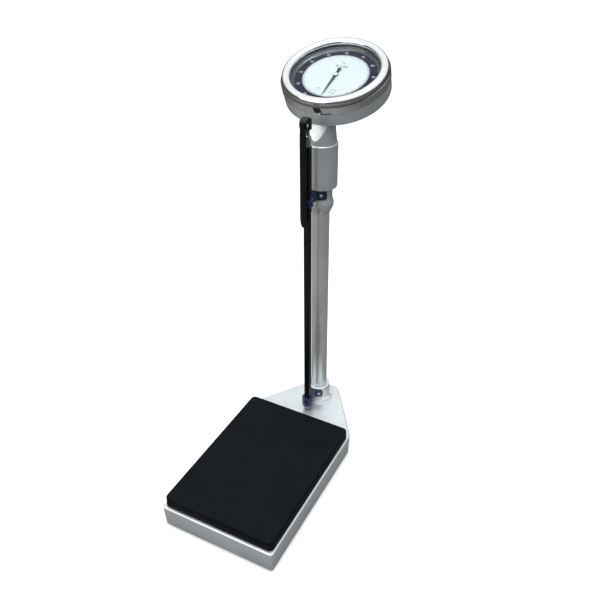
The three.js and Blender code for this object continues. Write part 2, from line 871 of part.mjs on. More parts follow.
place("draw_rod", drawRod(), steel);
place("draw_stirrup", drawStirrup(), steel);
const seatDisc = disc(32.8, seatTop - 3, seatTop, 0, columnY, ROUND);
const springTop = seatTop + springLength;
const capDisc = disc(17.5, springTop, springTop + 4, 0, drawY);
place("spring_seat", cut(seatDisc, disc(4, 680, 700, 0, drawY, 12)), steel);
place("main_spring", mainSpring(), steel);
place("spring_cap", cut(capDisc, disc(2.5 + GAP, 700, 800, 0, drawY, 12)), brass);
place("bell_crank", bellCrank(), steel);
place("crank_pin", pinAcross(3, -12, 12, crankY, crankZ), steel);

// The knob behind the cowl turns a cam under the spring's seat.
function zeroKnob() {
  const grip = new THREE.Shape();
  for (let i = 0; i < 32; i++) {
    const angle = (i / 32) * 2 * Math.PI;
    const radius = i % 2 ? 8.4 : 9;
    grip[i ? "lineTo" : "moveTo"](radius * Math.cos(angle), radius * Math.sin(angle));
  }
  const knob = join(
    upright(grip, 38, 48),
    disc(3, 25, 39),
    disc(3.4, 22, 27, 0.8, 0),
  );
  return knob.rotateX(-Math.PI / 2).translate(0, columnY, zeroZ);
}
place("zero_knob", zeroKnob(), blackPaint);

// ---- Height rod ----
const rodBox = (halfX, halfY, z0, z1) => box(-halfX, halfX, rodY - halfY, rodY + halfY, z0, z1);

function squareTube(halfX, halfY, wall, z0, z1) {
  return cut(
    upright(roundedRect(-halfX, halfX, rodY - halfY, rodY + halfY, 1.2), z0, z1, 2),
    rodBox(halfX - wall, halfY - wall, z0 - 1, z1 + 1),
  );
}

function footCup() {
  const bottom = baseTop + 2;
  const top = bossTop - 1;
  const nose = [0.35, 0.7, 1].map((share) => {
    const angle = (share * Math.PI) / 2;
    return [(cupRadius - 1) * Math.sin(angle), bottom + 12 * (1 - Math.cos(angle))];
  });
  const cup = turned([[0, bottom], ...nose, [cupRadius, top - 1], [cupRadius - 0.8, top], [0, top]], 28);
  const socket = rodBox(rodWidth / 2 + GAP, rodDepth / 2 + GAP, rodBottom - GAP, bossTop + 10);
  return cut(moved(cup, 0, rodY, 0), socket);
}

// A strap bent round the front of a cylinder of the column.
function strap(inner, thickness, halfAngle, z0, z1) {
  const front = -Math.PI / 2;
  const shape = new THREE.Shape();
  shape.absarc(0, 0, inner + thickness, front - halfAngle, front + halfAngle, false);
  shape.absarc(0, 0, inner, front + halfAngle, front - halfAngle, true);
  shape.closePath();
  return upright(shape, z0, z1, 12).translate(0, columnY, 0);
}

function lowerBracket() {
  const inner = bossRadius + 0.8;
  const web = box(-6, 6, rodY + 11, columnY - inner - 1, 84, 100);
  const cup = disc(cupRadius + GAP, 60, 120, 0, rodY, 28);
  return cut(join(strap(inner, 3, 0.8, 80, 103), web), cup);
}

function upperBracket() {
  const inner = collarRadius + GAP;
  const halfX = rodWidth / 2;
  const halfY = rodDepth / 2;
  const grip = 3;
  const front = rodY - halfY - grip;
  const back = rodY + halfY + grip;
  const loop = upright(roundedRect(-halfX - grip, halfX + grip, front, back, grip), 651, 668, 3);
  const web = box(-5, 5, rodY + halfY + 2, columnY - inner - 1, 653, 666);
  const bracket = join(strap(inner, 3, 0.95, 651, 673), web, loop);
  return cut(bracket, rodBox(halfX + GAP, halfY + GAP, 640, 680));
}

// A pan-head screw standing off a strap, its axis pointing out from the column.
function strapScrew(radius, angle, z) {
  const profile = [[0, 0], [4.2, 0], [4.2, 1.2], [2.8, 2.5], [0, 2.8]];
  const head = turned(profile, SMALL_ROUND).rotateX(Math.PI / 2);
  return head.translate(0, -radius, 0).rotateZ(angle).translate(0, columnY, z);
}

place("rod_foot_cup", footCup(), bluePlastic);
place("lower_bracket", lowerBracket(), bluePlastic);
place("upper_bracket", upperBracket(), bluePlastic);
for (const [side, angle] of [["left", -0.47], ["right", 0.47]]) {
  place(`lower_bracket_screw_${side}`, strapScrew(bossRadius + 3.8 + GAP, angle, 91.5), steel);
  place(`upper_bracket_screw_${side}`, strapScrew(collarRadius + 3.3 + GAP, angle, 662), steel);
}
place("rod_outer_tube", squareTube(rodWidth / 2, rodDepth / 2, 1.2, rodBottom, rodTop), blackPaint);
place("rod_middle_tube", squareTube(5.8, 4.8, 1, rodBottom + 16, rodTop + 16), steel);
const collarBlock = rodBox(6.6, 5.6, rodTop + 16 + GAP, rodTop + 22);
place("rod_collar", cut(collarBlock, rodBox(4.4, 3.4, rodTop, rodTop + 30)), chrome);
place("rod_inner_bar", rodBox(4, 3, rodBottom + 30, barTop), chrome);

// The arched block on top of the rod, with two cheeks that hold the arm's pin.
function rodHead() {
  const cheek = 8;
  const back = rodY + 5.6;
  const front = armPivotY - cheek;
  const socketFront = rodY - 5.2;
  const outline = new THREE.Shape();
  outline.moveTo(back, headBottom);
  outline.lineTo(back, headTop - 11);
  outline.quadraticCurveTo(back, headTop, back - 11, headTop);
  outline.lineTo(front + 10, headTop);
  outline.quadraticCurveTo(front, headTop, front, headTop - 11);
  outline.lineTo(front, armPivotZ);
  outline.absarc(armPivotY, armPivotZ, cheek, Math.PI, 2 * Math.PI, false);
  outline.lineTo(armPivotY + cheek, armPivotZ + 2);
  outline.lineTo(socketFront, armPivotZ + 2);
  outline.lineTo(socketFront, headBottom);
  outline.closePath();
  const slotHalf = armKnuckle + GAP;
  const clear = 8.6; // the arm's knuckle turns inside this distance from the pin
  const slot = box(-slotHalf, slotHalf, front - 2, armPivotY + clear, headBottom, armPivotZ + clear);
  const socket = rodBox(4 + GAP, 3 + GAP, headBottom - 1, barTop + GAP);
  const pinHole = pinAcross(2 + GAP, -10, 10, armPivotY, armPivotZ, 12);
  return cut(across(outline, -7.6, 7.6), slot, socket, pinHole);
}

// The folding arm, hanging down in front of the rod at rest.
function measuringArm() {
  const front = armPivotY - 7.5;
  const back = front + 4.4;
  const top = armPivotZ - 12;
  const bottom = armPivotZ - armLength;
  const half = 7;
  const taper = 22; // length of the arm's pointed end
  const face = new THREE.Shape();
  face.moveTo(half, top);
  face.lineTo(-half, top);
  face.lineTo(-half, bottom + taper);
  face.absellipse(0, bottom + taper, half, taper, Math.PI, 2 * Math.PI, false);
  face.closePath();
  const knuckle = join(
    pinAcross(7.5, -armKnuckle, armKnuckle, armPivotY, armPivotZ),
    box(-armKnuckle, armKnuckle, front, back + 2, top - 8, armPivotZ),
  );
  const pinHole = pinAcross(2 + GAP, -10, 10, armPivotY, armPivotZ, 12);
  return cut(join(along(face, front, back, 8), knuckle), pinHole);
}

place("rod_head", rodHead(), blackPaint);
place("measuring_arm", measuringArm(), blackPaint);
const pinShank = pinAcross(2, -8.6, 8.6, armPivotY, armPivotZ, 12);
const pinHead = pinAcross(3.4, 7.7, 9, armPivotY, armPivotZ, 12);
place("arm_pin", join(pinShank, pinHead), chrome);

// ---- The whole, moved so that the origin is under the middle of its bounding box ----
const bounds = new THREE.Box3().setFromObject(scale, true);
scale.position.set(0, -(bounds.min.y + bounds.max.y) / 2, 0);
const assembly = new THREE.Group();
assembly.name = "dial_scale_with_height_rod";
assembly.add(scale);

export default assembly;
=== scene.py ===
"""Looks of a physician's dial scale with a height rod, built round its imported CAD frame.

Shapes are drawn in millimetres and become metres in add(). The tread is rubber, the housing and
column are silver-grey enamel, the bezel is chrome, the height rod is black enamel and its holders
are navy plastic.
"""

import json
import math

import bmesh
import bpy
from mathutils import Matrix, Vector


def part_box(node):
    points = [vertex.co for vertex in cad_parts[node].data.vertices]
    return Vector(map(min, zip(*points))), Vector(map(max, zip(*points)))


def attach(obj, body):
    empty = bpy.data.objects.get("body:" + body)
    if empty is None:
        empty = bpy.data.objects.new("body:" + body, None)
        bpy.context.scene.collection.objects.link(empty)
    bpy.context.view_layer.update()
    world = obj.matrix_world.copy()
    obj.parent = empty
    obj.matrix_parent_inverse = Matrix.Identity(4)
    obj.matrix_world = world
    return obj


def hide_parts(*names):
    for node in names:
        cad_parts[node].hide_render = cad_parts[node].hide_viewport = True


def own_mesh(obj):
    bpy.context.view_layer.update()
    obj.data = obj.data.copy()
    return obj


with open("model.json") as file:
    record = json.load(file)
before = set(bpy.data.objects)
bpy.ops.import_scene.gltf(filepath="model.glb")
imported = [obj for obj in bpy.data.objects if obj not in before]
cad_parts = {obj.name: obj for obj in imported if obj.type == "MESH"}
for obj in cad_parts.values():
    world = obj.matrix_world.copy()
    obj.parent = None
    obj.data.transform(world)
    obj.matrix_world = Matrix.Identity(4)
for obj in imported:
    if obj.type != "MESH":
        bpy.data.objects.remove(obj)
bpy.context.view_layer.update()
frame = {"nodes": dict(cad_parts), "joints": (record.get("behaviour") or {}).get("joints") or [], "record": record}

MM = 0.001
NODES = frame["nodes"]
RECORD = frame["record"]
SLOT_OF = {part["node"]: part["material_slot"] for part in RECORD["subparts"]}
BODY_OF = {n: body for body, members in RECORD["behaviour"]["bodies"].items() for n in members}
JOINTS = {joint["name"]: joint for joint in frame["joints"]}
MATERIALS = {}


# ---- Outlines ----
def rounded(corners, steps=6):
    """Points of a closed outline whose corners (x, y, radius) are turned into arcs.

    A corner without a radius stays sharp.
    """
    points = []
    for i, (x, y, *radius) in enumerate(corners):
        here = Vector((x, y))
        if not radius:
            points.append(here)
            continue
        before = Vector(corners[i - 1][:2]) - here
        after = Vector(corners[(i + 1) % len(corners)][:2]) - here
        half = before.angle(after) / 2
        tangent = min(radius[0] / math.tan(half), 0.49 * before.length, 0.49 * after.length)
        reach = tangent / math.cos(half)
        before.normalize()
        after.normalize()
        centre = here + (before + after).normalized() * reach
        start = here + before * tangent - centre
        end = here + after * tangent - centre
        sweep = math.pi - 2 * half
        for step in range(steps + 1):
            share = step / steps
            turn = start * math.sin((1 - share) * sweep) + end * math.sin(share * sweep)
            points.append(centre + turn / math.sin(sweep))
    return points


def inset(corners, distance):
    """A convex outline's corners (x, y, radius) with each side moved inwards by distance."""
    moved = []
    for i, (x, y, radius) in enumerate(corners):
        here = Vector((x, y))
        before = (Vector(corners[i - 1][:2]) - here).normalized()
        after = (Vector(corners[(i + 1) % len(corners)][:2]) - here).normalized()
        half = before.angle(after) / 2
        here += (before + after).normalized() * (distance / math.sin(half))
        moved.append((here.x, here.y, max(radius - distance, 0.4)))
    return moved


def shrunk(points, distance):
    """A closed anticlockwise outline of points, each moved inwards along its mitre."""
    moved = []
    for i, here in enumerate(points):
        before = (here - points[i - 1]).normalized()
        after = (points[(i + 1) % len(points)] - here).normalized()
        left = Vector((-before.y, before.x)) + Vector((-after.y, after.x))
        moved.append(here + left * (2 * distance / max(left.length_squared, 1.0)))
    return moved


def rectangle(low, high, radius, grow=0.0):
    """A box's outline in plan as corners (x, y, radius), grown on every side."""
    return [
        (low.x - grow, low.y - grow, radius),
        (high.x + grow, low.y - grow, radius),
        (high.x + grow, high.y + grow, radius),
        (low.x - grow, high.y + grow, radius),
    ]


def sharp_rectangle(left, bottom, right, top):
    return [Vector((left, bottom)), Vector((right, bottom)), Vector((right, top)), Vector((left, top))]


def circle(radius, count):
    turns = [2 * math.pi * i / count for i in range(count)]
    return [radius * Vector((math.cos(t), math.sin(t))) for t in turns]


# ---- Solids ----
def bridge(mesh, first, second):
    """Faces between two rings of vertices; a ring of one vertex is a pole."""
    if len(first) == 1 and len(second) == 1:
        return
    count = max(len(first), len(second))
    for i in range(count):
        j = (i + 1) % count
        if len(first) == 1:
            mesh.faces.new((first[0], second[j], second[i]))
        elif len(second) == 1:
            mesh.faces.new((first[i], first[j], second[0]))
        else:
            mesh.faces.new((first[i], first[j], second[j], second[i]))


def closed(mesh):
    bmesh.ops.recalc_face_normals(mesh, faces=mesh.faces)
    return mesh


def lathe(profile, segments=96, place=Matrix()):
    """A solid turned round Z from a closed outline of (radius, height) points."""
    mesh = bmesh.new()
    rings = []
    for radius, height in profile:
        if radius < 0.001:
            rings.append([mesh.verts.new(place @ Vector((0, 0, height)))])
        else:
            rings.append([mesh.verts.new(place @ p.to_3d() + place.to_3x3() @ Vector((0, 0, height)))
                          for p in circle(radius, segments)])
    for first, second in zip(rings, rings[1:] + rings[:1]):
        bridge(mesh, first, second)
    return closed(mesh)


def loft(loops, place=Matrix(), ring=False):
    """A solid through loops of 3D points, capped at both ends, or closed on itself as a ring."""
    mesh = bmesh.new()
    rings = [[mesh.verts.new(place @ Vector(p)) for p in loop] for loop in loops]
    for first, second in zip(rings, rings[1:] + (rings[:1] if ring else [])):
        bridge(mesh, first, second)
    if not ring:
        mesh.faces.new(rings[0])
        mesh.faces.new(rings[-1])
    return closed(mesh)


def cylinder(radius, low, high, segments=96, place=Matrix()):
    return lathe([(0, low), (radius, low), (radius, high), (0, high)], segments, place)


def levels(points_at, profile):
    """Loops for loft: the outline at each (inset, height) of a profile."""
    return [[(p.x, p.y, height) for p in points_at(distance)] for distance, height in profile]


def edge_profile(low, high, edge, steps=4):
    """(inset, height) pairs of a plate's wall with rounded edges."""
    arc = [math.pi / 2 * step / steps for step in range(steps + 1)]
    bottom = [(edge * (1 - math.sin(t)), low + edge * (1 - math.cos(t))) for t in arc]
    top = [(edge * (1 - math.cos(t)), high - edge * (1 - math.sin(t))) for t in arc]
    return bottom + top


def slab(points, low, high, edge, place=Matrix(), steps=3):
    """An outline drawn in X and Y, thick from low to high, with rounded edges."""
    return loft(levels(lambda d: shrunk(points, d), edge_profile(low, high, edge, steps)), place)


def merged(*meshes):
    """One bmesh that holds the given ones side by side."""
    whole = bmesh.new()
    for mesh in meshes:
        data = bpy.data.meshes.new("part")
        mesh.to_mesh(data)
        mesh.free()
        whole.from_mesh(data)
        bpy.data.meshes.remove(data)
    return whole


def linked(name, data):
    obj = bpy.data.objects.new(name, data)
    bpy.context.scene.collection.objects.link(obj)
    return obj


def placed(name, mesh):
    """A new object that takes over a bmesh."""
    data = bpy.data.meshes.new(name)
    mesh.to_mesh(data)
    mesh.free()
    return linked(name, data)


def applied(obj, *helpers):
    """The object's mesh with its modifiers applied, as a bmesh; the objects are removed."""
    graph = bpy.context.evaluated_depsgraph_get()
    mesh = bmesh.new()
    mesh.from_object(obj, graph)
    for used in (obj, *helpers):
        data = used.data
        bpy.data.objects.remove(used)
        bpy.data.meshes.remove(data)
    return mesh


def boolean(mesh, operation, *others):
    """mesh joined with, or cut by, the other bmeshes."""
    target = placed("target", mesh)
    helpers = [placed("helper", other) for other in others]
    for helper in helpers:
        modifier = target.modifiers.new("boolean", "BOOLEAN")
        modifier.operation = operation
        modifier.solver = "EXACT"
        modifier.object = helper
    return applied(target, *helpers)


def cut(mesh, *others):
    return boolean(mesh, "DIFFERENCE", *others)


def moulded(mesh, voxel, rounds):
    """Overlapping solids fused into one with soft, filleted joins, as a moulding has."""
    obj = placed("moulding", mesh)
    remesh = obj.modifiers.new("remesh", "REMESH")
    remesh.mode = "VOXEL"
    remesh.voxel_size = voxel
    smooth = obj.modifiers.new("smooth", "SMOOTH")
    smooth.factor = 0.5
    smooth.iterations = rounds
    return applied(obj)


def add(name, mesh, node=None, body=None, slot=None, smooth=35):
    """Makes a piece from a bmesh. It stands for the CAD node, if one is named, and rides its body."""
    mesh.transform(Matrix.Scale(MM, 4))
    obj = placed(name, mesh)
    data = obj.data
    data.polygons.foreach_set("use_smooth", [True] * len(data.polygons))
    data.set_sharp_from_angle(angle=math.radians(smooth))
    slot = slot or SLOT_OF[node]
    data.materials.append(MATERIALS[slot])
    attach(obj, body or BODY_OF[node])
    if node:
        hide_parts(node)
    return obj


def spin(node, kind, corners, steps=6, segments=128, place=None, **options):
    """A turned piece from the (radius, height, round) corners of its section."""
    add(f"{node}_{kind}", lathe(rounded(corners, steps), segments, place or COLUMN_X_Y), node, **options)


# ---- Materials ----
COLOUR_A, COLOUR_B, COLOUR_OUT = 6, 7, 2  # a Mix node's colour sockets, told apart only by place


class Nodes:
    """A node tree under construction; most methods add nodes and return an output socket."""

    def __init__(self, owner):
        owner.use_nodes = True
        self.tree = owner.node_tree

    def node(self, kind, inputs=None, **settings):
        """A new node; kind is its type without the word ShaderNode."""
        made = self.tree.nodes.new("ShaderNode" + kind)
        for key, value in settings.items():
            setattr(made, key, value)
        for key, value in (inputs or {}).items():
            self.feed(made.inputs[key], value)
        return made

    def feed(self, socket, value):
        if isinstance(value, bpy.types.NodeSocket):
            self.tree.links.new(value, socket)
        elif hasattr(socket.default_value, "__len__") and not hasattr(value, "__len__"):
            socket.default_value = (value,) * len(socket.default_value)
        elif hasattr(value, "__len__") and len(value) == 3 and len(socket.default_value) == 4:
            socket.default_value = (*value, 1)
        else:
            socket.default_value = value

    def span(self, value, low, high, to_low=0.0, to_high=1.0):
        """value from low..high mapped to to_low..to_high, clamped."""
        settings = {"Value": value, "From Min": low, "From Max": high, "To Min": to_low, "To Max": to_high}
        return self.node("MapRange", settings).outputs["Result"]

    def blend(self, share, first, second):
        """first where share is 0, second where it is 1."""
        sockets = {"Factor": share, COLOUR_A: first, COLOUR_B: second}
        return self.node("Mix", sockets, data_type="RGBA").outputs[COLOUR_OUT]

    def operate(self, operation, first, second):
        return self.node("Math", {0: first, 1: second}, operation=operation).outputs[0]

    def sum(self, first, second):
        return self.operate("ADD", first, second)

    def product(self, first, second):
        return self.operate("MULTIPLY", first, second)

    def one_minus(self, value):
        return self.operate("SUBTRACT", 1.0, value)


class Shader(Nodes):
    def __init__(self, name):
        self.material = bpy.data.materials.new(name)
        super().__init__(self.material)
        self.surface = self.tree.nodes["Principled BSDF"]
        self.place = self.node("TexCoord").outputs["Object"]

    def noise(self, scale, detail=3, roughness=0.55, stretch=None):
        place = self.place
        if stretch:
            place = self.node("Mapping", {"Vector": place, "Scale": stretch}).outputs[0]
        settings = {"Vector": place, "Scale": scale, "Detail": detail, "Roughness": roughness}
        return self.node("TexNoise", settings).outputs["Fac"]

    def cells(self, scale):
        return self.node("TexVoronoi", {"Vector": self.place, "Scale": scale}).outputs["Distance"]

    def bump(self, height, depth, below=None):
        made = self.node("Bump", {"Height": height, "Distance": depth, "Strength": 1.0})
        if below is not None:
            self.feed(made.inputs["Normal"], below)
        return made.outputs["Normal"]

    def set(self, **values):
        for key, value in values.items():
            self.feed(self.surface.inputs[key.replace("_", " ")], value)
        return self.material

    def mix_surfaces(self, share, first, second):
        """Makes the surface a blend of two shader nodes."""
        mix = self.node("MixShader")
        self.feed(mix.inputs[0], share)
        self.tree.links.new(first.outputs[0], mix.inputs[1])
        self.tree.links.new(second.outputs[0], mix.inputs[2])
        self.tree.links.new(mix.outputs[0], self.tree.nodes["Material Output"].inputs["Surface"])


def enamel(name, colour, roughness, metallic, coat, peel, shine=0.5):
    """Sprayed paint: orange peel, a faint grain, slow drift in tone and a few fine rubs."""
    s = Shader(name)
    dark = [c * 0.9 for c in colour]
    light = [min(c * 1.07, 1) for c in colour]
    drift = s.span(s.noise(11, 4), 0.35, 0.65)
    grain = s.span(s.noise(2600, 1), 0.3, 0.7, 0.35, 0.65)
    tone = s.blend(s.sum(s.product(drift, 0.6), s.product(grain, 0.4)), dark, light)
    rubs = s.span(s.noise(60, 6, 0.7, (1, 1, 0.12)), 0.66, 0.74)
    tone = s.blend(s.product(rubs, 0.12), tone, [c * 0.62 for c in colour])
    gloss = s.span(s.noise(34, 4), 0.3, 0.7, roughness - 0.05, roughness + 0.07)
    ripple = s.bump(s.noise(420, 2), peel)
    ripple = s.bump(s.noise(2600, 1), peel * 0.12, ripple)
    return s.set(Base_Color=tone, Roughness=gloss, Metallic=metallic, Normal=ripple,
                 Coat_Weight=coat, Coat_Roughness=0.12, Specular_IOR_Level=shine)


def plated(name, colour, roughness, scratch=0.4):
    """Polished or plated metal with faint hairlines and handling smears."""
    s = Shader(name)
    smear = s.span(s.noise(26, 5, 0.6), 0.35, 0.75)
    hair = s.noise(900, 2, 0.5, (1, 1, 0.03))
    gloss = s.sum(s.span(smear, 0, 1, roughness, roughness * 2.1), s.span(hair, 0.4, 0.8, 0, 0.04))
    tone = s.blend(smear, colour, [c * 0.93 for c in colour])
    return s.set(Base_Color=tone, Roughness=gloss, Metallic=1.0, Normal=s.bump(hair, scratch * 0.002 * MM))


def tread_rubber():
    """Moulded matt rubber: pebbled grain, bloom and slightly polished where feet stand."""
    s = Shader("tread_rubber")
    bloom = s.span(s.noise(13, 5, 0.6), 0.32, 0.7)
    fleck = s.span(s.noise(700, 2), 0.35, 0.7)
    tone = s.blend(bloom, (0.0020, 0.0028, 0.0040), (0.0040, 0.0054, 0.0074))
    tone = s.blend(s.product(fleck, 0.25), tone, (0.007, 0.009, 0.012))
    gloss = s.span(s.noise(9, 3), 0.35, 0.7, 0.46, 0.6)
    pebble = s.one_minus(s.cells(620))
    relief = s.bump(pebble, 0.10 * MM)
    relief = s.bump(s.noise(1900, 3), 0.03 * MM, relief)
    return s.set(Base_Color=tone, Roughness=gloss, Normal=relief, Specular_IOR_Level=0.07)


def plain_rubber():
    s = Shader("foot_rubber")
    tone = s.blend(s.span(s.noise(90, 4), 0.3, 0.7), (0.014, 0.014, 0.014), (0.026, 0.026, 0.026))
    return s.set(Base_Color=tone, Roughness=0.75, Normal=s.bump(s.noise(900, 3), 0.05 * MM))


def moulded_plastic(name, colour, roughness):
    """Injection-moulded plastic with a spark-eroded texture and faint flow marks."""
    s = Shader(name)
    flow = s.span(s.noise(70, 3, 0.5, (1, 1, 0.4)), 0.35, 0.7)
    tone = s.blend(flow, [c * 0.85 for c in colour], [min(c * 1.15, 1) for c in colour])
    gloss = s.span(s.noise(160, 3), 0.3, 0.7, roughness - 0.05, roughness + 0.08)
    return s.set(Base_Color=tone, Roughness=gloss, Normal=s.bump(s.noise(2200, 2), 0.015 * MM),
                 Coat_Weight=0.15)


def casting():
    s = Shader("cast_iron")
    rust = s.span(s.noise(120, 5, 0.65), 0.58, 0.75)
    tone = s.blend(s.span(s.noise(400, 4), 0.3, 0.7), (0.035, 0.036, 0.038), (0.10, 0.10, 0.105))
    tone = s.blend(s.product(rust, 0.5), tone, (0.13, 0.055, 0.025))
    relief = s.bump(s.noise(850, 5, 0.7), 0.25 * MM)
    return s.set(Base_Color=tone, Roughness=0.72, Metallic=0.55, Normal=relief)


def clear_glass():
    """Thin flat glass: mostly clear, with a Fresnel reflection, so that light passes to the dial."""
    s = Shader("clear_glass")
    mirror = s.node("BsdfGlossy", {"Color": (1, 1, 1), "Roughness": 0.015})
    clear = s.node("BsdfTransparent", {"Color": (0.965, 0.985, 0.98)})
    facing = s.node("Fresnel", {"IOR": 1.22})
    haze = s.span(s.noise(40, 4), 0.3, 0.8, 0.0, 0.006)
    outside = s.one_minus(s.node("NewGeometry").outputs["Backfacing"])
    share = s.product(s.sum(facing.outputs[0], haze), outside)
    s.mix_surfaces(share, clear, mirror)
    return s.material


def printed(name, colour, roughness=0.45):
    """A printed dial sheet: almost even, with paper-fine mottling."""
    s = Shader(name)
    mottle = s.span(s.noise(300, 4), 0.3, 0.7)
    tone = s.blend(mottle, [c * 0.96 for c in colour], [min(c * 1.03, 1) for c in colour])
    return s.set(Base_Color=tone, Roughness=roughness, Normal=s.bump(s.noise(1500, 2), 0.001 * MM),
                 Specular_IOR_Level=0.1)


GREY = (0.72, 0.755, 0.765)
MATERIALS.update(
    grey_paint=enamel("grey_paint", GREY, 0.34, 0.65, 0.3, 0.035 * MM),
    black_paint=enamel("black_paint", (0.0025, 0.0025, 0.0026), 0.33, 0.0, 0.1, 0.02 * MM, 0.3),
    chrome_plate=plated("chrome_plate", (0.88, 0.885, 0.88), 0.045),
    tread_rubber=tread_rubber(),
    foot_rubber=plain_rubber(),
    blue_plastic=moulded_plastic("blue_plastic", (0.009, 0.020, 0.072), 0.3),
    black_plastic=moulded_plastic("black_plastic", (0.02, 0.02, 0.02), 0.45),
    zinc_steel=plated("zinc_steel", (0.56, 0.55, 0.53), 0.34, 1.0),
    cast_iron=casting(),
    brass=plated("brass", (0.74, 0.55, 0.25), 0.2, 1.0),
    clear_glass=clear_glass(),
    dial_white=printed("dial_white", (0.60, 0.62, 0.66)),
    dial_navy=printed("dial_navy", (0.004, 0.005, 0.022), 0.4),
    mirror_steel=plated("mirror_steel", (0.085, 0.09, 0.10), 0.24),
)

for name, obj in NODES.items():
    obj.data.materials.clear()
    obj.data.materials.append(MATERIALS[SLOT_OF[name]])


# ---- Places, from the frame ----
def box(node):
    """Lowest and highest corner of a CAD node."""
    low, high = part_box(node)
    return low / MM, high / MM


def pivot(joint):
    return Vector(JOINTS[joint]["pos_m"]) / MM


def seen_from(place, node):
    """A CAD node's points in the frame of a matrix."""
    inverse = place.inverted()
    return [inverse @ (v.co / MM) for v in NODES[node].data.vertices]


column_low, column_high = box("column_tube")
COLUMN = (column_low + column_high) / 2
COLUMN_X_Y = Matrix.Translation((COLUMN.x, COLUMN.y, 0))
rod_low, rod_high = box("rod_outer_tube")
ROD = (rod_low + rod_high) / 2
ROD_X_Y = Matrix.Translation((ROD.x, ROD.y, 0))
out_of_dial = -Vector(JOINTS["pointer_turn"]["axis"])
up_dial = out_of_dial.cross(Vector((1, 0, 0)))
# the dial's frame: X to its right, Y up its face, Z out of it
DIAL = Matrix.Translation(pivot("pointer_turn")) @ Matrix(
    ((1, up_dial.x, out_of_dial.x), (0, up_dial.y, out_of_dial.y), (0, up_dial.z, out_of_dial.z))
).to_4x4()
ACROSS = Matrix(((0, 0, 1, 0), (1, 0, 0, 0), (0, 1, 0, 0), (0, 0, 0, 1)))  # X, Y, Z drawn as Y, Z, X


def turned_box(node):
    """Radius, lowest and highest point of an upright round CAD node."""
    low, high = box(node)
    return (high.x - low.x) / 2, low.z, high.z


def dial_box(node):
    """Lowest and highest corner of a CAD node in the dial's own frame."""
    points = seen_from(DIAL, node)
    low = Vector([min(p[i] for p in points) for i in range(3)])
    return low, Vector([max(p[i] for p in points) for i in range(3)])


# ---- Housing and platform ----
SHOULDER = 390  # from the housing's front to where the deck starts to narrow
NECK_END_HALF = 34
HOUSING_WALL = 3
PRESSED_EDGE = 3.6
DRAFT = 2.5
SHAFT_RADIUS = 15  # of the hole for the draw rod under the column


def housing_corners():
    low, high = box("base_housing")
    shoulder = low.y + SHOULDER
    front_round, shoulder_round, back_round = 8, 30, 26
    return [
        (low.x, low.y, front_round), (high.x, low.y, front_round),
        (high.x, shoulder, shoulder_round), (NECK_END_HALF, high.y, back_round),
        (-NECK_END_HALF, high.y, back_round), (low.x, shoulder, shoulder_round),
    ]


def base_housing():
    low, high = box("base_housing")
    corners = housing_corners()
    height = high.z - low.z
    wall = edge_profile(low.z, high.z, PRESSED_EDGE, 5)
    outside = [(d + DRAFT * ((high.z - z) / height) ** 1.5, z) for d, z in wall]
    inside = [(HOUSING_WALL + 4, high.z - HOUSING_WALL), (HOUSING_WALL + DRAFT + PRESSED_EDGE, low.z)]
    loops = levels(lambda d: rounded(inset(corners, d), 12), inside + outside)
    pan_low, pan_high = box("platform_pan")
    margin = Vector((14, 20, 0))
    opening = rounded(rectangle(pan_low + margin, pan_high - margin, 10), 8)
    pit = slab(opening, high.z - 5 * HOUSING_WALL, high.z + HOUSING_WALL, 0.1)
    shaft = cylinder(SHAFT_RADIUS, high.z - 12, high.z + 6, 48, COLUMN_X_Y)
    add("base_housing_shell", cut(loft(loops), pit, shaft), "base_housing", smooth=30)


def bottom_plate():
    low, high = box("bottom_plate")
    shell = housing_corners()
    housing_front = shell[0][1]
    points = rounded(inset(shell, low.y - housing_front), 10)
    add("bottom_plate_sheet", slab(points, low.z, high.z, 0.6), "bottom_plate")


def bottom_screws():
    """Pan-head screws that hold the sheet under the housing, their slots left at odd angles."""
    low = box("bottom_plate")[0]
    head = rounded([(0, 0), (4, 0), (3.4, 1.7, 1.2), (0, 1.9)], 4)
    slot = sharp_rectangle(-5, -0.5, 5, 0.5)
    heads = []
    for i, (x, y, _) in enumerate(inset(housing_corners(), 17)):
        place = Matrix.Translation((x, y, low.z)) @ Matrix.Rotation(math.pi, 4, "X")
        groove = slab(slot, 1.1, 3, 0.05, place @ Matrix.Rotation(0.7 * i, 4, "Z"))
        heads.append(cut(lathe(head, 32, place), groove))
    add("bottom_plate_screws", merged(*heads), body="base", slot="zinc_steel")


def tread_mat():
    """A moulded cap: its skirt leans in a little, and its top is very slightly crowned."""
    low, high = box("tread_mat")
    corners = rectangle(low, high, 12)
    skirt, thickness, lip = 3, 3.6, 0.6
    lean, radius, crown = 0.8, 4.2, 0.25
    profile = [
        (skirt + 1, high.z - thickness), (skirt, low.z + lip), (skirt - lip, low.z),
        (lip, low.z), (0, low.z + lip), (0, low.z + 2.2),
        (lean * 0.55, high.z - (high.z - low.z) * 0.45),
    ]
    for step in range(9):
        turn = math.pi / 2 * step / 8
        profile.append((lean + radius * (1 - math.cos(turn)), high.z - crown - radius * (1 - math.sin(turn))))
    profile += [(lean + radius + 5, high.z - crown / 2), (lean + radius + 14, high.z)]
    add("tread_rubber_mat", loft(levels(lambda d: rounded(inset(corners, d), 12), profile)), "tread_mat")


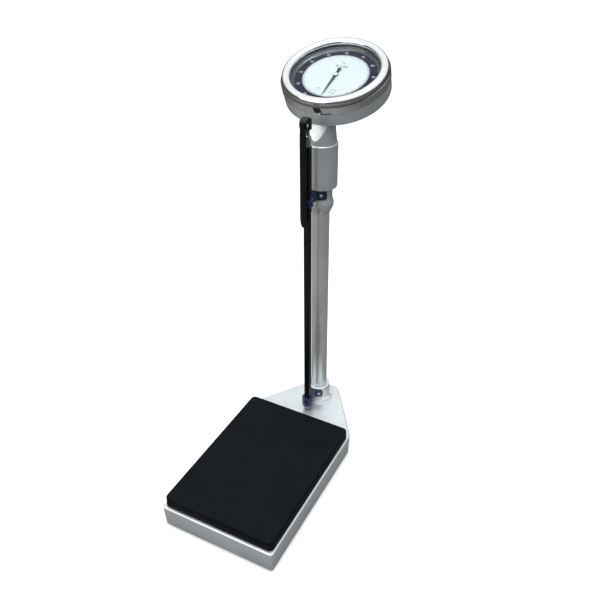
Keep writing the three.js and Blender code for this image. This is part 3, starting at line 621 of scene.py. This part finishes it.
def rubber_foot(node):
    low, high = box(node)
    centre = (low + high) / 2
    radius = (high.x - low.x) / 2
    relief = 0.5  # depth of the groove between the foot's inner pad and its rim
    profile = [
        (0, 0), (radius * 0.55, 0), (radius * 0.6, relief), (radius * 0.72, relief),
        (radius * 0.76, 0), (radius - 2.2, 0), (radius - 0.9, relief), (radius - 0.2, 1.6),
        (radius, 3), (radius, high.z - 0.6), (radius - 0.6, high.z), (0, high.z),
    ]
    add(node + "_turned", lathe(profile, 64, Matrix.Translation((centre.x, centre.y, 0))), node)


base_housing()
bottom_plate()
bottom_screws()
tread_mat()
for end in ("front", "rear"):
    for side in ("left", "right"):
        rubber_foot(f"rubber_foot_{end}_{side}")

# ---- Column ----
SPUN_WALL = 2.5
TUBE_SEAT = 20.3  # bore of what fits over the column's tube
COLLAR_RADIUS = 25.5  # of the band above its bulge
NECK_SLOPE = math.radians(69)  # the neck's front face above the horizontal
NECK_WAIST = 26  # height at which the neck stops narrowing
NECK_RADIUS = 29.5


def column_foot():
    flange, low, high = turned_box("column_foot")
    plate = low + 8
    boss = 28
    spin("column_foot", "boss", [
        (TUBE_SEAT, low), (flange, low), (flange, plate, 1.6), (boss + 0.6, plate, 2.2),
        (boss, high, 2.6), (TUBE_SEAT, high, 0.8),
    ])


def column_tube():
    radius, low, high = turned_box("column_tube")
    bore = radius - SPUN_WALL
    corners = [(bore, low), (radius, low, 0.4), (radius, high, 0.4), (bore, high)]
    spin("column_tube", "drawn", corners, 3)


def column_band():
    bulge, low, high = turned_box("column_band")
    flare = 1.9
    spin("column_band", "spun", [
        (TUBE_SEAT, low), (TUBE_SEAT + flare, low, 0.7), (bulge + flare, low + 19, 24),
        (COLLAR_RADIUS, low + 35, 4), (COLLAR_RADIUS, high), (TUBE_SEAT, high),
    ], 8)


def head_cowl():
    radius, low, high = turned_box("head_cowl")
    opening, end_wall = 28, 3
    inside = radius - SPUN_WALL
    spin("head_cowl", "spun", [
        (TUBE_SEAT, low), (radius, low, 1.8), (radius, high, 3.6), (opening, high),
        (opening, high - end_wall), (inside, high - end_wall, 1), (inside, low + end_wall, 1),
        (TUBE_SEAT, low + end_wall),
    ], 8)


def drum_corners(grow=0.0):
    """The drum's outside as (radius, depth, round) corners in the dial's frame, and its front's depth."""
    low, high = dial_box("dial_drum")
    seat = dial_box("bezel_ring")[0].z
    return [
        (0, low.z - grow), (high.x - 9.5, low.z - grow),
        (high.x - 0.4 + grow, low.z - grow, 11), (high.x + grow, seat - 0.3, 0.8),
    ], seat


def before_slope(back):
    """Everything in front of the neck's sloping face, moved back by a distance."""
    foot_y = COLUMN.y - 32 + back
    foot_z = box("head_neck")[0].z + 10.7
    front = COLUMN.y - 90
    half_width = 50
    low, high = foot_z - 30, foot_z + 92
    run = 1 / math.tan(NECK_SLOPE)
    side = [
        (foot_y + (low - foot_z) * run, low), (foot_y + (high - foot_z) * run, high),
        (front, high), (front, low),
    ]
    return loft([[(x, y, z) for y, z in side] for x in (-half_width, half_width)])


def head_neck():
    radius, low, high = turned_box("head_neck")
    top = high + 12
    outside = rounded([
        (0, low), (radius, low, 0.6), (NECK_RADIUS + 1, low + NECK_WAIST, 60),
        (NECK_RADIUS, top), (0, top),
    ], 10)
    below, above = low - 1, top + 5
    inside = [(0, below), (28.4, below), (27.6, above), (0, above)]
    bore = cut(lathe(inside, 96, COLUMN_X_Y), before_slope(2.7))
    corners, seat = drum_corners(0.25)
    drum = lathe(rounded(corners, 8) + [Vector((0, seat))], 160, DIAL)
    neck = cut(lathe(outside, 128, COLUMN_X_Y), before_slope(0), bore, drum)
    add("head_neck_spun", neck, "head_neck", smooth=9)


def flange_bolt(node):
    low, high = box(node)
    centre = (low + high) / 2
    place = Matrix.Translation((centre.x, centre.y, low.z))
    rim, thickness = 3.5, 0.9
    disc = rounded([(0, 0), (rim, 0), (rim, thickness, 0.3), (0, thickness)], 3)
    head_height = high.z - low.z
    hexagon = circle(3.3, 6)
    dome = [(0, 0.8), (0, head_height - 0.7), (0.5, head_height)]
    head = loft(levels(lambda d: shrunk(hexagon, d), dome), place)
    add(node + "_hexagon", merged(lathe(disc, 40, place), head), node, smooth=25)


column_foot()
column_tube()
column_band()
head_cowl()
head_neck()
for number in (1, 2, 3):
    flange_bolt(f"flange_bolt_{number}")

# ---- Dial head ----
RIM_RADIUS = 9.5  # of the bezel's rolled rim
RIM_MIDDLE = 104
WALL_FOOT = 89  # inner radius of the wall round the navy ring, at its foot and below the pane
WALL_TOP = 96.5
DISC_EDGE = 71.1
FULL_SCALE = 120  # kg in one reading of the dial
FULL_TURN = math.radians(JOINTS["pointer_turn"]["range_deg"][1])
INK = 0.06  # thickness of the dial's print


def dial_drum():
    corners, seat = drum_corners()
    spigot = dial_box("bezel_ring")[1].x - 4
    low, high = dial_box("dial_drum")
    shell = rounded(corners[1:] + [
        (spigot, seat - 0.3), (spigot, high.z, 0.4), (spigot - SPUN_WALL, high.z, 0.4),
        (spigot - SPUN_WALL, low.z + SPUN_WALL, 6), (0, low.z + SPUN_WALL), (0, low.z),
    ], 8)
    neck_foot = box("head_neck")[0].z
    passage = cylinder(24, neck_foot, neck_foot + 82, 64, COLUMN_X_Y)
    passage = cut(passage, before_slope(5))
    add("dial_drum_spun", cut(lathe(shell, 192, DIAL), passage), "dial_drum")


def bezel_ring():
    """A band round the drum that turns over into a rolled rim; the pane sits under the rim."""
    low, high = dial_box("bezel_ring")
    outer = high.x
    inside = outer - 3
    shoulder = high.z - RIM_RADIUS
    seat = dial_box("dial_glass")[1].z + 0.1
    band = rounded([
        (inside, low.z), (outer - 0.5, low.z, 0.5), (outer, low.z + 1.2, 0.6),
        (outer, shoulder - 5, 1.2), (RIM_MIDDLE + RIM_RADIUS, shoulder - 0.4),
    ], 4)
    turns = [math.pi * step / 22 for step in range(23)]
    middle = Vector((RIM_MIDDLE, shoulder))
    roll = [middle + RIM_RADIUS * Vector((math.cos(turn), math.sin(turn))) for turn in turns]
    underside = rounded([
        (RIM_MIDDLE - RIM_RADIUS, seat, 0.3), (107, seat), (109, seat - 3, 0.5),
        (inside, seat - 6.2),
    ], 4)
    add("bezel_ring_plated", lathe(band + roll + underside, 224, DIAL), "bezel_ring", smooth=40)


def dial_wall():
    """The coved ring that slopes from the pane down to the navy ring."""
    low, high = dial_box("dial_spacer")
    bow = 0.35
    cove = []
    for step in range(7):
        share = step / 6
        across = share + bow * math.sin(math.pi * share) * (1 - share)
        cove.append((WALL_FOOT + (WALL_TOP - WALL_FOOT) * across, low.z + 0.5 + (high.z - low.z - 1) * share))
    corners = [
        (WALL_FOOT, low.z, 0.2), (high.x, low.z, 0.3), (high.x, low.z + 2.3, 0.4),
        (106, high.z, 0.4), (WALL_TOP, high.z, 0.2),
    ]
    spin("dial_spacer", "spun", corners + cove[::-1], 3, 192, DIAL, slot="mirror_steel")


def flat_ring(node, kind, inner, edge):
    low, high = dial_box(node)
    corners = [(inner, low.z), (high.x, low.z, edge), (high.x, high.z, edge), (inner, high.z)]
    spin(node, kind, corners, 3, 192, DIAL)


def dial_angle(kilograms):
    """Turn of a mark from twelve o'clock, anticlockwise: zero is at six o'clock."""
    return math.pi - FULL_TURN * kilograms / FULL_SCALE


def tick(outer, length, width, kilograms, sheet):
    """A printed line that ends at a radius and points to the dial's middle."""
    corners = sharp_rectangle(-width / 2, outer - length, width / 2, outer)
    loops = [[(p.x, p.y, z) for p in corners] for z in (sheet, sheet + INK)]
    return loft(loops, DIAL @ Matrix.Rotation(dial_angle(kilograms), 4, "Z"))


def graduations():
    """Half-kilogram lines, with longer and bolder ones at each whole, fifth and tenth kilogram."""
    sizes = [(20, 5.4, 0.75), (10, 4.6, 0.6), (2, 3.6, 0.45), (1, 2.6, 0.32)]  # half-kilograms, length, width
    sheet = dial_box("dial_disc")[1].z
    marks = []
    for half in range(2 * FULL_SCALE + 1):
        length, width = next(size for every, *size in sizes if half % every == 0)
        marks.append(tick(DISC_EDGE - 0.5, length, width, half / 2, sheet))
    add("dial_graduations", merged(*marks), body="base", slot="dial_navy")
    inner = DISC_EDGE - 0.4
    line = [(inner, sheet), (DISC_EDGE, sheet), (DISC_EDGE, sheet + INK), (inner, sheet + INK)]
    add("dial_edge_line", lathe(line, 192, DIAL), body="base", slot="dial_navy")


def lettering(text, size, place, depth=INK):
    """Raised print: the text's outline as a thin solid, centred on place's origin."""
    curve = bpy.data.curves.new("text", "FONT")
    curve.body = text
    curve.size = size
    curve.align_x = "CENTER"
    curve.align_y = "CENTER"
    curve.extrude = depth / 2
    curve.resolution_u = 4
    obj = linked("text", curve)
    bpy.context.view_layer.update()
    data = bpy.data.meshes.new_from_object(obj)
    mesh = bmesh.new()
    mesh.from_mesh(data)
    bpy.data.meshes.remove(data)
    bmesh.ops.remove_doubles(mesh, verts=mesh.verts, dist=0.001)
    mesh.transform(place @ Matrix.Translation((0, 0, depth / 2)))
    bpy.data.objects.remove(obj)
    bpy.data.curves.remove(curve)
    return mesh


def numerals():
    """Tens of kilograms on the navy ring, with a line outside each and halfway between them."""
    sheet = dial_box("dial_ring")[1].z
    figure_radius, figure_size = 80.6, 8.2
    figures = []
    for kilograms in range(0, FULL_SCALE + 1, 10):
        angle = dial_angle(kilograms)
        spot = figure_radius * Vector((-math.sin(angle), math.cos(angle), 0))
        place = DIAL @ Matrix.Translation((spot.x, spot.y, sheet))
        figures.append(lettering(str(kilograms), figure_size, place))
    add("dial_numerals", merged(*figures), body="base", slot="dial_white")
    marks = []
    for kilograms in range(0, FULL_SCALE + 1, 5):
        length = 3 if kilograms % 10 == 0 else 1.8
        marks.append(tick(WALL_FOOT - 0.6, length, 0.6, kilograms, sheet))
    add("dial_ring_marks", merged(*marks), body="base", slot="dial_white")


def unit_marks():
    sheet = dial_box("dial_disc")[1].z
    words = [  # text, size, x, y
        ("0-120", 12, 0, 31),
        ("kg", 7, 0, 43.5),
        ("Max", 5.5, -17, -48),
        ("120 kg", 5.5, 16, -48),
        ("d =", 5.5, -16, -56.5),
        ("0.5 kg", 5.5, 16, -56.5),
    ]
    marks = [lettering(text, size, DIAL @ Matrix.Translation((x, y, sheet))) for text, size, x, y in words]
    add("dial_unit_marks", merged(*marks), body="base", slot="dial_navy")


def pointer():
    """A tapering blade with a round hub and a spade-shaped tail."""
    low, high = dial_box("pointer")
    tip = low.y
    right = [(0.35, tip), (1.35, tip + 16), (2.6, -18), (3.0, -7), (5.0, 0), (3.0, 7), (1.9, 11),
             (3.4, 15), (4.3, 19.5), (3.2, 23.3)]
    outline = [(x, y, 0.8 if i else 0.2) for i, (x, y) in enumerate(right)]
    outline += [(-x, y, r) for x, y, r in reversed(outline)]
    blade = slab(rounded(outline, 4), low.z, high.z, 0.3, DIAL)
    hub_radius, foot, top = 4.6, low.z + 0.2, high.z + 0.5
    hub = rounded([(0, foot), (hub_radius, foot, 0.3), (hub_radius, top, 0.5), (0, top)], 4)
    add("pointer_blade", boolean(blade, "UNION", lathe(hub, 64, DIAL)), "pointer", smooth=30)


def pointer_cap():
    low, high = dial_box("pointer_cap")
    radius = high.x
    spin("pointer_cap", "turned", [
        (0, low.z), (radius, low.z, 0.4), (radius * 0.86, high.z, 1.1), (0, high.z),
    ], 6, 64, DIAL)


dial_drum()
bezel_ring()
dial_wall()
flat_ring("dial_glass", "pane", 0, 0.5)
flat_ring("dial_ring", "sheet", 66, 0.2)
flat_ring("dial_disc", "sheet", 3, 0.2)
graduations()
numerals()
unit_marks()
pointer()
pointer_cap()

# ---- Height rod ----
ARM_PIVOT = pivot("arm_fold")
PIVOT_HOLE = 2.2  # radius
KNUCKLE_HALF = 4.4  # half the arm's thickness between the head's cheeks
CHEEK_HALF = 4.8
PIVOT_X = Matrix.Translation(ARM_PIVOT) @ Matrix.Rotation(math.pi / 2, 4, "Y")
UPRIGHT = Matrix(((1, 0, 0, 0), (0, 0, -1, 0), (0, 1, 0, 0), (0, 0, 0, 1)))  # X, Y drawn as X, Z


def square_tube(node, piece_name, wall, corner):
    """A drawn tube of rectangular section with rounded corners and ends."""
    low, high = box(node)
    outer = rectangle(low, high, corner)
    inner = rectangle(low, high, corner * 0.7, -wall)
    lip = 0.35
    outside = levels(lambda d: rounded(inset(outer, d) if d else outer, 5),
                     [(lip, low.z), (0, low.z + lip), (0, high.z - lip), (lip, high.z)])
    inside = levels(lambda d: rounded(inner, 5), [(0, high.z), (0, low.z)])
    add(piece_name, loft(outside + inside, ring=True), node)


def rod_collar():
    low, high = box("rod_collar")
    points = rectangle(low, high, 2)
    hole = rounded(rectangle(*box("rod_inner_bar"), 0.8, 0.4), 5)
    outside = levels(lambda d: rounded(inset(points, d), 5), edge_profile(low.z, high.z, 0.8, 3))
    inside = [[(p.x, p.y, z) for p in hole] for z in (high.z, low.z)]
    add("rod_collar_plated", loft(outside + inside, ring=True), "rod_collar")


def inner_bar():
    low, high = box("rod_inner_bar")
    section = rounded(rectangle(low, high, 1), 5)
    loops = [[(p.x, p.y, z) for p in section] for z in (low.z, high.z)]
    add("rod_inner_bar_drawn", loft(loops), "rod_inner_bar")


def rod_head():
    """A casting that grips the bar's top and holds the arm's pin between two cheeks."""
    low, high = box("rod_head")
    bar_low, bar_high = box("rod_inner_bar")
    cheek = ARM_PIVOT.y - low.y
    socket = bar_low.y - 2.2
    step_round = 0.8
    outline = [
        (high.y, low.z, 1), (high.y, high.z, 11), (low.y, high.z, 10),
        (low.y, ARM_PIVOT.z - cheek, cheek * 0.96),
        (ARM_PIVOT.y + cheek, ARM_PIVOT.z - cheek, cheek * 0.96),
        (ARM_PIVOT.y + cheek, ARM_PIVOT.z + 3, step_round),
        (socket, ARM_PIVOT.z + 3, step_round), (socket, low.z, step_round),
    ]
    body = slab(rounded(outline, 8), low.x, high.x, 1.4, ACROSS, 4)
    swing = 8.6  # room for the arm's knuckle to turn
    beyond = 2
    slot = [
        (low.y - beyond, low.z - beyond), (ARM_PIVOT.y + swing, low.z - beyond),
        (ARM_PIVOT.y + swing, ARM_PIVOT.z + swing, 5), (low.y - beyond, ARM_PIVOT.z + swing),
    ]
    gap = slab(rounded(slot, 6), -CHEEK_HALF, CHEEK_HALF, 0.3, ACROSS)
    hole = cylinder(PIVOT_HOLE, -12, 12, 32, PIVOT_X)
    clearance = 0.3
    bore_points = rounded(rectangle(bar_low, bar_high, 1, clearance), 4)
    bore = slab(bore_points, low.z - beyond, bar_high.z + clearance, 0.1)
    add("rod_head_casting", cut(body, gap, hole, bore), "rod_head", smooth=32)


def arm_end(half, bottom, bow, depth, steps):
    """The rounded lower end of the arm, from its left side to its right."""
    points = [Vector((-half, bottom + bow))]
    for step in range(1, steps):
        turn = math.pi + math.pi * step / steps
        points.append(Vector((half * math.cos(turn), bottom + bow + depth * math.sin(turn))))
    return points + [Vector((half, bottom + bow))]


def measuring_arm():
    """A pressed blade with a shallow trough down its front and a round knuckle at its top."""
    low, high = box("measuring_arm")
    half = high.x
    front = low.y
    back = front + 4.4
    shoulder = ARM_PIVOT.z - 12
    bow = 22
    outline = [Vector((-half, shoulder - 6))] + arm_end(half, low.z, bow, bow, 16)
    outline += [
        Vector((half, shoulder - 6)),
        Vector((half * 0.66, shoulder)),
        Vector((-half * 0.66, shoulder)),
    ]
    blade = slab(outline, -back, -front, 0.9, UPRIGHT, 3)
    knuckle, turned_edge = 7.5, 7.4
    foot = shoulder - 10
    section = rounded([
        (ARM_PIVOT.y - knuckle, ARM_PIVOT.z + knuckle, turned_edge),
        (ARM_PIVOT.y - knuckle, foot), (back + 1.8, foot, 1.5),
        (ARM_PIVOT.y + knuckle, ARM_PIVOT.z - knuckle, turned_edge),
        (ARM_PIVOT.y + knuckle, ARM_PIVOT.z + knuckle, turned_edge),
    ], 8)
    ball = slab(section, -KNUCKLE_HALF, KNUCKLE_HALF, 0.7, ACROSS)
    hole = cylinder(PIVOT_HOLE, -12, 12, 32, PIVOT_X)
    border = half - 2.6
    trough_top = shoulder - 16
    trough = [Vector((-border, trough_top))] + arm_end(border, low.z, bow, bow - 4, 12)
    trough.append(Vector((border, trough_top)))
    pressing = slab(trough, -back - 3, -back + 2.2, 0.5, UPRIGHT)
    mesh = cut(boolean(blade, "UNION", ball), hole, pressing)
    add("measuring_arm_pressed", mesh, "measuring_arm", smooth=32)


def arm_pin():
    low, high = box("arm_pin")
    shank, head, head_foot = 2, 3.4, high.x - 1.3
    spin("arm_pin", "turned", [
        (0, low.x), (shank, low.x, 0.4), (shank, head_foot), (head, head_foot),
        (head, high.x, 0.9), (0, high.x),
    ], 4, 48, PIVOT_X)


def height_marks(node, body, name, top_mark):
    """Engraved centimetre lines, with a figure every ten, on the front of a length of the rod."""
    low, high = box(node)
    width = high.x - low.x
    depth, thickness, centimetre = 0.05, 0.45, 10
    right = high.x - 0.9
    marks = []
    for step in range(56):
        z = high.z - 30 - step * centimetre
        length = width * (0.62 if step % 10 == 0 else 0.45 if step % 5 == 0 else 0.28)
        corners = sharp_rectangle(right - length, z, right, z + thickness)
        marks.append(loft([[(p.x, y, p.y) for p in corners] for y in (low.y, low.y - depth)]))
        if step % 10 == 0:
            spot = Matrix.Translation((low.x + width / 2, low.y, z - 4))
            place = spot @ Matrix.Rotation(math.pi / 2, 4, "X")
            marks.append(lettering(str(top_mark - step), 3.6, place, depth))
    add(f"height_marks_{name}", merged(*marks), body=body, slot="black_paint")


square_tube("rod_outer_tube", "rod_outer_tube_drawn", 1.2, 2.2)
square_tube("rod_middle_tube", "rod_middle_tube_drawn", 1.0, 1.6)
rod_collar()
inner_bar()
rod_head()
measuring_arm()
arm_pin()
height_marks("rod_middle_tube", "rod_middle", "middle", 130)
height_marks("rod_inner_bar", "rod_top", "inner", 190)

# ---- Plastic holders ----
STRAP_THICKNESS = 3
STRAP_EDGE = 0.9
STRAP_INSIDE = {"lower": 28.8, "upper": 25.8}  # radius round the foot and round the collar
ROD_PLAY = 0.35
VOXEL = 0.55
FUSING_ROUNDS = 5


def rod_socket(low, high):
    """The room that the outer tube takes up in a holder."""
    return slab(rounded(rectangle(rod_low, rod_high, 2.4, ROD_PLAY), 5), low, high, 0.1)


def rod_cup():
    radius, low, high = turned_box("rod_foot_cup")
    seam = low + (high - low) * 0.56
    seam_half, seam_round = 0.5, 0.3
    outline = rounded([
        (0, low), (radius * 0.62, low, 9), (radius - 0.5, low + 15, 14),
        (radius - 0.2, seam - seam_half, seam_round), (radius - 0.8, seam, seam_round),
        (radius, seam + seam_half, seam_round), (radius, high, 1.1), (0, high),
    ], 8)
    socket = rod_socket(rod_low.z - 0.3, high + 5)
    cup = cut(lathe(outline, 96, ROD_X_Y), socket)
    add("rod_foot_cup_moulded", cup, "rod_foot_cup", smooth=32)


def strap(inner, half_angle, low, high):
    """A band bent round the front of the column, with rounded ends."""
    count = 28
    end_length, end_drop = 7, 6
    middle = (low + high) / 2
    loops = []
    for i in range(count + 1):
        angle = -half_angle + 2 * half_angle * i / count
        past = (abs(angle) - half_angle) * inner + end_length
        shrink = 1 - math.sqrt(max(1 - (past / end_length) ** 2, 0.0)) if past > 0 else 0
        half = (high - low) / 2 - shrink * end_drop
        section = rounded([
            (inner, middle - half, STRAP_EDGE),
            (inner + STRAP_THICKNESS, middle - half, STRAP_EDGE),
            (inner + STRAP_THICKNESS, middle + half, STRAP_EDGE),
            (inner, middle + half, STRAP_EDGE),
        ], 6)
        bent = Vector((math.sin(angle), -math.cos(angle)))
        loops.append([(COLUMN.x + p.x * bent.x, COLUMN.y + p.x * bent.y, p.y) for p in section])
    return loft(loops)


def web(front, front_half, strap_inner, back_half, low, high):
    """The bridge from the rod's end of a holder to its strap."""
    back = COLUMN.y - strap_inner - 1
    corners = [(-front_half, front), (front_half, front), (back_half, back), (-back_half, back)]
    return slab([Vector(corner) for corner in corners], low, high, 1)


def lower_holder():
    low, high = box("lower_bracket")
    cup_low, cup_high = box("rod_foot_cup")
    inner = STRAP_INSIDE["lower"]
    bridge_piece = web(cup_high.y - 4, 6.4, inner, 7.5, low.z + 3, high.z - 2.5)
    mesh = moulded(merged(strap(inner, 0.8, low.z, high.z), bridge_piece), VOXEL, FUSING_ROUNDS)
    radius = (cup_high.x - cup_low.x) / 2 + 0.3
    keep_out = cylinder(radius, low.z - 20, high.z + 20, 96, ROD_X_Y)
    add("lower_bracket_moulded", cut(mesh, keep_out), "lower_bracket", smooth=40)


def upper_holder():
    low, high = box("upper_bracket")
    inner = STRAP_INSIDE["upper"]
    grip = rounded(rectangle(rod_low, rod_high, 4, 3), 6)
    ring = slab(grip, low.z, low.z + 17, 1)
    bridge_piece = web(rod_high.y + 1, 5.4, inner, 8, low.z + 2, low.z + 15.5)
    band = strap(inner, 0.95, low.z, high.z)
    mesh = moulded(merged(band, ring, bridge_piece), VOXEL, FUSING_ROUNDS)
    socket = rod_socket(low.z - 5, high.z + 5)
    add("upper_bracket_moulded", cut(mesh, socket), "upper_bracket", smooth=40)


def strap_screw(holder, side):
    """A cross-head screw whose head sits on the strap."""
    node = f"{holder}_bracket_screw_{side}"
    low, high = box(node)
    centre = (low + high) / 2
    outward = Vector((centre.x - COLUMN.x, centre.y - COLUMN.y, 0)).normalized()
    seat = STRAP_INSIDE[holder] + STRAP_THICKNESS + 0.3
    turned_out = outward.to_track_quat("Z", "Y").to_matrix().to_4x4()
    place = Matrix.Translation((COLUMN.x, COLUMN.y, centre.z)) @ turned_out @ Matrix.Translation((0, 0, seat))
    outline = rounded([
        (0, 0), (4.1, 0, 0.3), (4.1, 0.9, 1.0), (2.6, 2.7, 1.6), (0, 2.8),
    ], 5)
    bar = sharp_rectangle(-2, -0.45, 2, 0.45)
    turns = [Matrix.Rotation(turn + 0.5, 4, "Z") for turn in (0, math.pi / 2)]
    cross = [slab(bar, 1.5, 4, 0.05, place @ turn) for turn in turns]
    add(node + "_head", cut(lathe(outline, 48, place), *cross), node, smooth=30)


rod_cup()
lower_holder()
upper_holder()
for holder_name in ("lower", "upper"):
    for side in ("left", "right"):
        strap_screw(holder_name, side)


# ---- Zero knob and spring ----
def zero_knob():
    """A grip with sharp ribs round its edge on a plain stem."""
    turn = Vector(JOINTS["zero_knob_turn"]["axis"]).to_track_quat("Z", "Y").to_matrix().to_4x4()
    along = Matrix.Translation(pivot("zero_knob_turn")) @ turn
    points = seen_from(along, "zero_knob")
    foot = min(p.z for p in points)
    top = max(p.z for p in points)
    wide = max(math.hypot(*p.xy) for p in points)
    teeth, rib = 36, 0.5
    ribs = []
    for i in range(2 * teeth):
        radius = wide - (rib if i % 2 else 0)
        angle = math.pi * i / teeth
        ribs.append(radius * Vector((math.cos(angle), math.sin(angle))))
    grip = slab(ribs, top - 5, top, 0.5, along)
    stem = cylinder(3, foot, top - 4, 32, along)
    add("zero_knob_ribbed", merged(grip, stem), "zero_knob", smooth=25)


def main_spring():
    """The weighing spring, drawn at one length: its end coils lie close. In the real scale it shortens as the
    platform sinks.
    """
    low, high = box("main_spring")
    centre = (low + high) / 2
    wire = 1.6
    radius = (high.x - low.x) / 2 - wire
    turns, steps_a_turn = 7, 30
    close_turns, close_share = 0.9, 0.1  # turns at each end, and their share of the spring's rise
    loops = []
    for i in range(turns * steps_a_turn + 1):
        turned = i / steps_a_turn
        angle = 2 * math.pi * turned
        open_part = min(max((turned - close_turns) / (turns - 2 * close_turns), 0), 1)
        closed_turns = min(turned, close_turns) + max(turned - turns + close_turns, 0)
        rise = (1 - close_share) * open_part + close_share * closed_turns / (2 * close_turns)
        outward = Vector((math.cos(angle), math.sin(angle), 0))
        middle = Vector((centre.x, centre.y, low.z + wire + (high.z - low.z - 2 * wire) * rise))
        middle += radius * outward
        loops.append([middle + wire * (p.x * outward + p.y * Vector((0, 0, 1))) for p in circle(1, 10)])
    spring = add("main_spring_coil", loft(loops), "main_spring")
    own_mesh(spring)


zero_knob()
main_spring()


# ---- Stage ----
CAMERA_PLACE = (0.62302, -1.09156, 1.31438)
CAMERA_TURN = (25.025, -33.615, 1.455)  # yaw, pitch and roll in degrees
CAMERA_LENS = 41.205
CAMERA_SHIFT = (-0.0583, -0.010)


def floor():
    """A floor that the camera sees as white, though it throws little light back."""
    mesh = bmesh.new()
    half = 40
    mesh.faces.new([mesh.verts.new(corner.to_3d()) for corner in sharp_rectangle(-half, -half, half, half)])
    obj = placed("floor", mesh)
    s = Shader("floor")
    seen = s.node("LightPath").outputs["Is Camera Ray"]
    spot = s.node("NewGeometry").outputs["Position"]
    bright_spot, near, far = (-0.45, -0.35, 0), 0.7, 1.7
    measured = s.node("VectorMath", {0: spot, 1: bright_spot}, operation="DISTANCE")
    distance = s.span(measured.outputs["Value"], near, far)
    bounce = s.blend(distance, (0.18, 0.18, 0.18), (0.09, 0.09, 0.09))
    tone = s.blend(seen, bounce, (0.75, 0.75, 0.75))
    s.set(Base_Color=tone, Roughness=0.85, Specular_IOR_Level=0.1, Emission_Color=(1, 1, 1),
          Emission_Strength=s.product(seen, 0.34))
    below = s.product(s.node("NewGeometry").outputs["Backfacing"], seen)
    s.mix_surfaces(below, s.surface, s.node("BsdfTransparent"))
    obj.data.materials.append(s.material)


def sky():
    """Soft surroundings: bright overhead, a dim band near the horizon, plain for the camera."""
    world = bpy.data.worlds.new("studio")
    bpy.context.scene.world = world
    s = Nodes(world)
    direction = s.node("TexCoord").outputs["Generated"]
    height = s.node("SeparateXYZ", {0: direction}).outputs["Z"]
    made = s.node("ValToRGB", {"Fac": s.span(height, -1, 1)})
    ramp = made.color_ramp
    ramp.interpolation = "EASE"
    # share of the way from straight down to straight up, and brightness
    stops = [(0.0, 0.08), (0.48, 0.08), (0.5, 0.03), (0.58, 0.05), (0.64, 0.5), (0.70, 0.95), (1.0, 1.1)]
    while len(ramp.elements) < len(stops):
        ramp.elements.new(0.5)
    for element, (position, value) in zip(ramp.elements, stops):
        element.position = position
        element.color = (value * 0.97, value, value * 1.03, 1)
    seen = s.node("LightPath").outputs["Is Camera Ray"]
    s.feed(s.tree.nodes["Background"].inputs["Color"], s.blend(seen, made.outputs["Color"], (1, 1, 1)))


def softbox(name, place, target, size, power, colour=(1, 1, 1)):
    light = bpy.data.lights.new(name, "AREA")
    light.shape = "RECTANGLE"
    light.size, light.size_y = size
    light.energy = power
    light.color = colour
    obj = linked(name, light)
    obj.location = place
    obj.rotation_mode = "QUATERNION"
    obj.rotation_quaternion = (Vector(target) - Vector(place)).to_track_quat("-Z", "Y")


def camera():
    """The view from above the right front, at a standing person's eye."""
    data = bpy.data.cameras.new("camera")
    obj = linked("camera", data)
    yaw, pitch, roll = (math.radians(a) for a in CAMERA_TURN)
    forward = Vector((-math.sin(yaw) * math.cos(pitch), math.cos(yaw) * math.cos(pitch), math.sin(pitch)))
    right = forward.cross(Vector((0, 0, 1))).normalized()
    up = right.cross(forward)
    tilted_right = right * math.cos(roll) + up * math.sin(roll)
    tilted_up = up * math.cos(roll) - right * math.sin(roll)
    turn = Matrix((tilted_right, tilted_up, -forward)).transposed()
    obj.matrix_world = Matrix.Translation(CAMERA_PLACE) @ turn.to_4x4()
    data.sensor_width = 36
    data.lens = CAMERA_LENS
    data.shift_x, data.shift_y = CAMERA_SHIFT
    data.clip_start = 0.05
    bpy.context.scene.camera = obj


floor()
sky()
softbox("overhead", (0.3, -0.3, 3.2), (0, 0, 0.3), (2.2, 2.2), 44)
softbox("left_front", (-1.16, -2.33, 2.05), (0, 0.15, 0.8), (3.0, 2.2), 31, (1, 0.99, 0.97))
camera()
bpy.context.scene.view_settings.view_transform = "Standard"
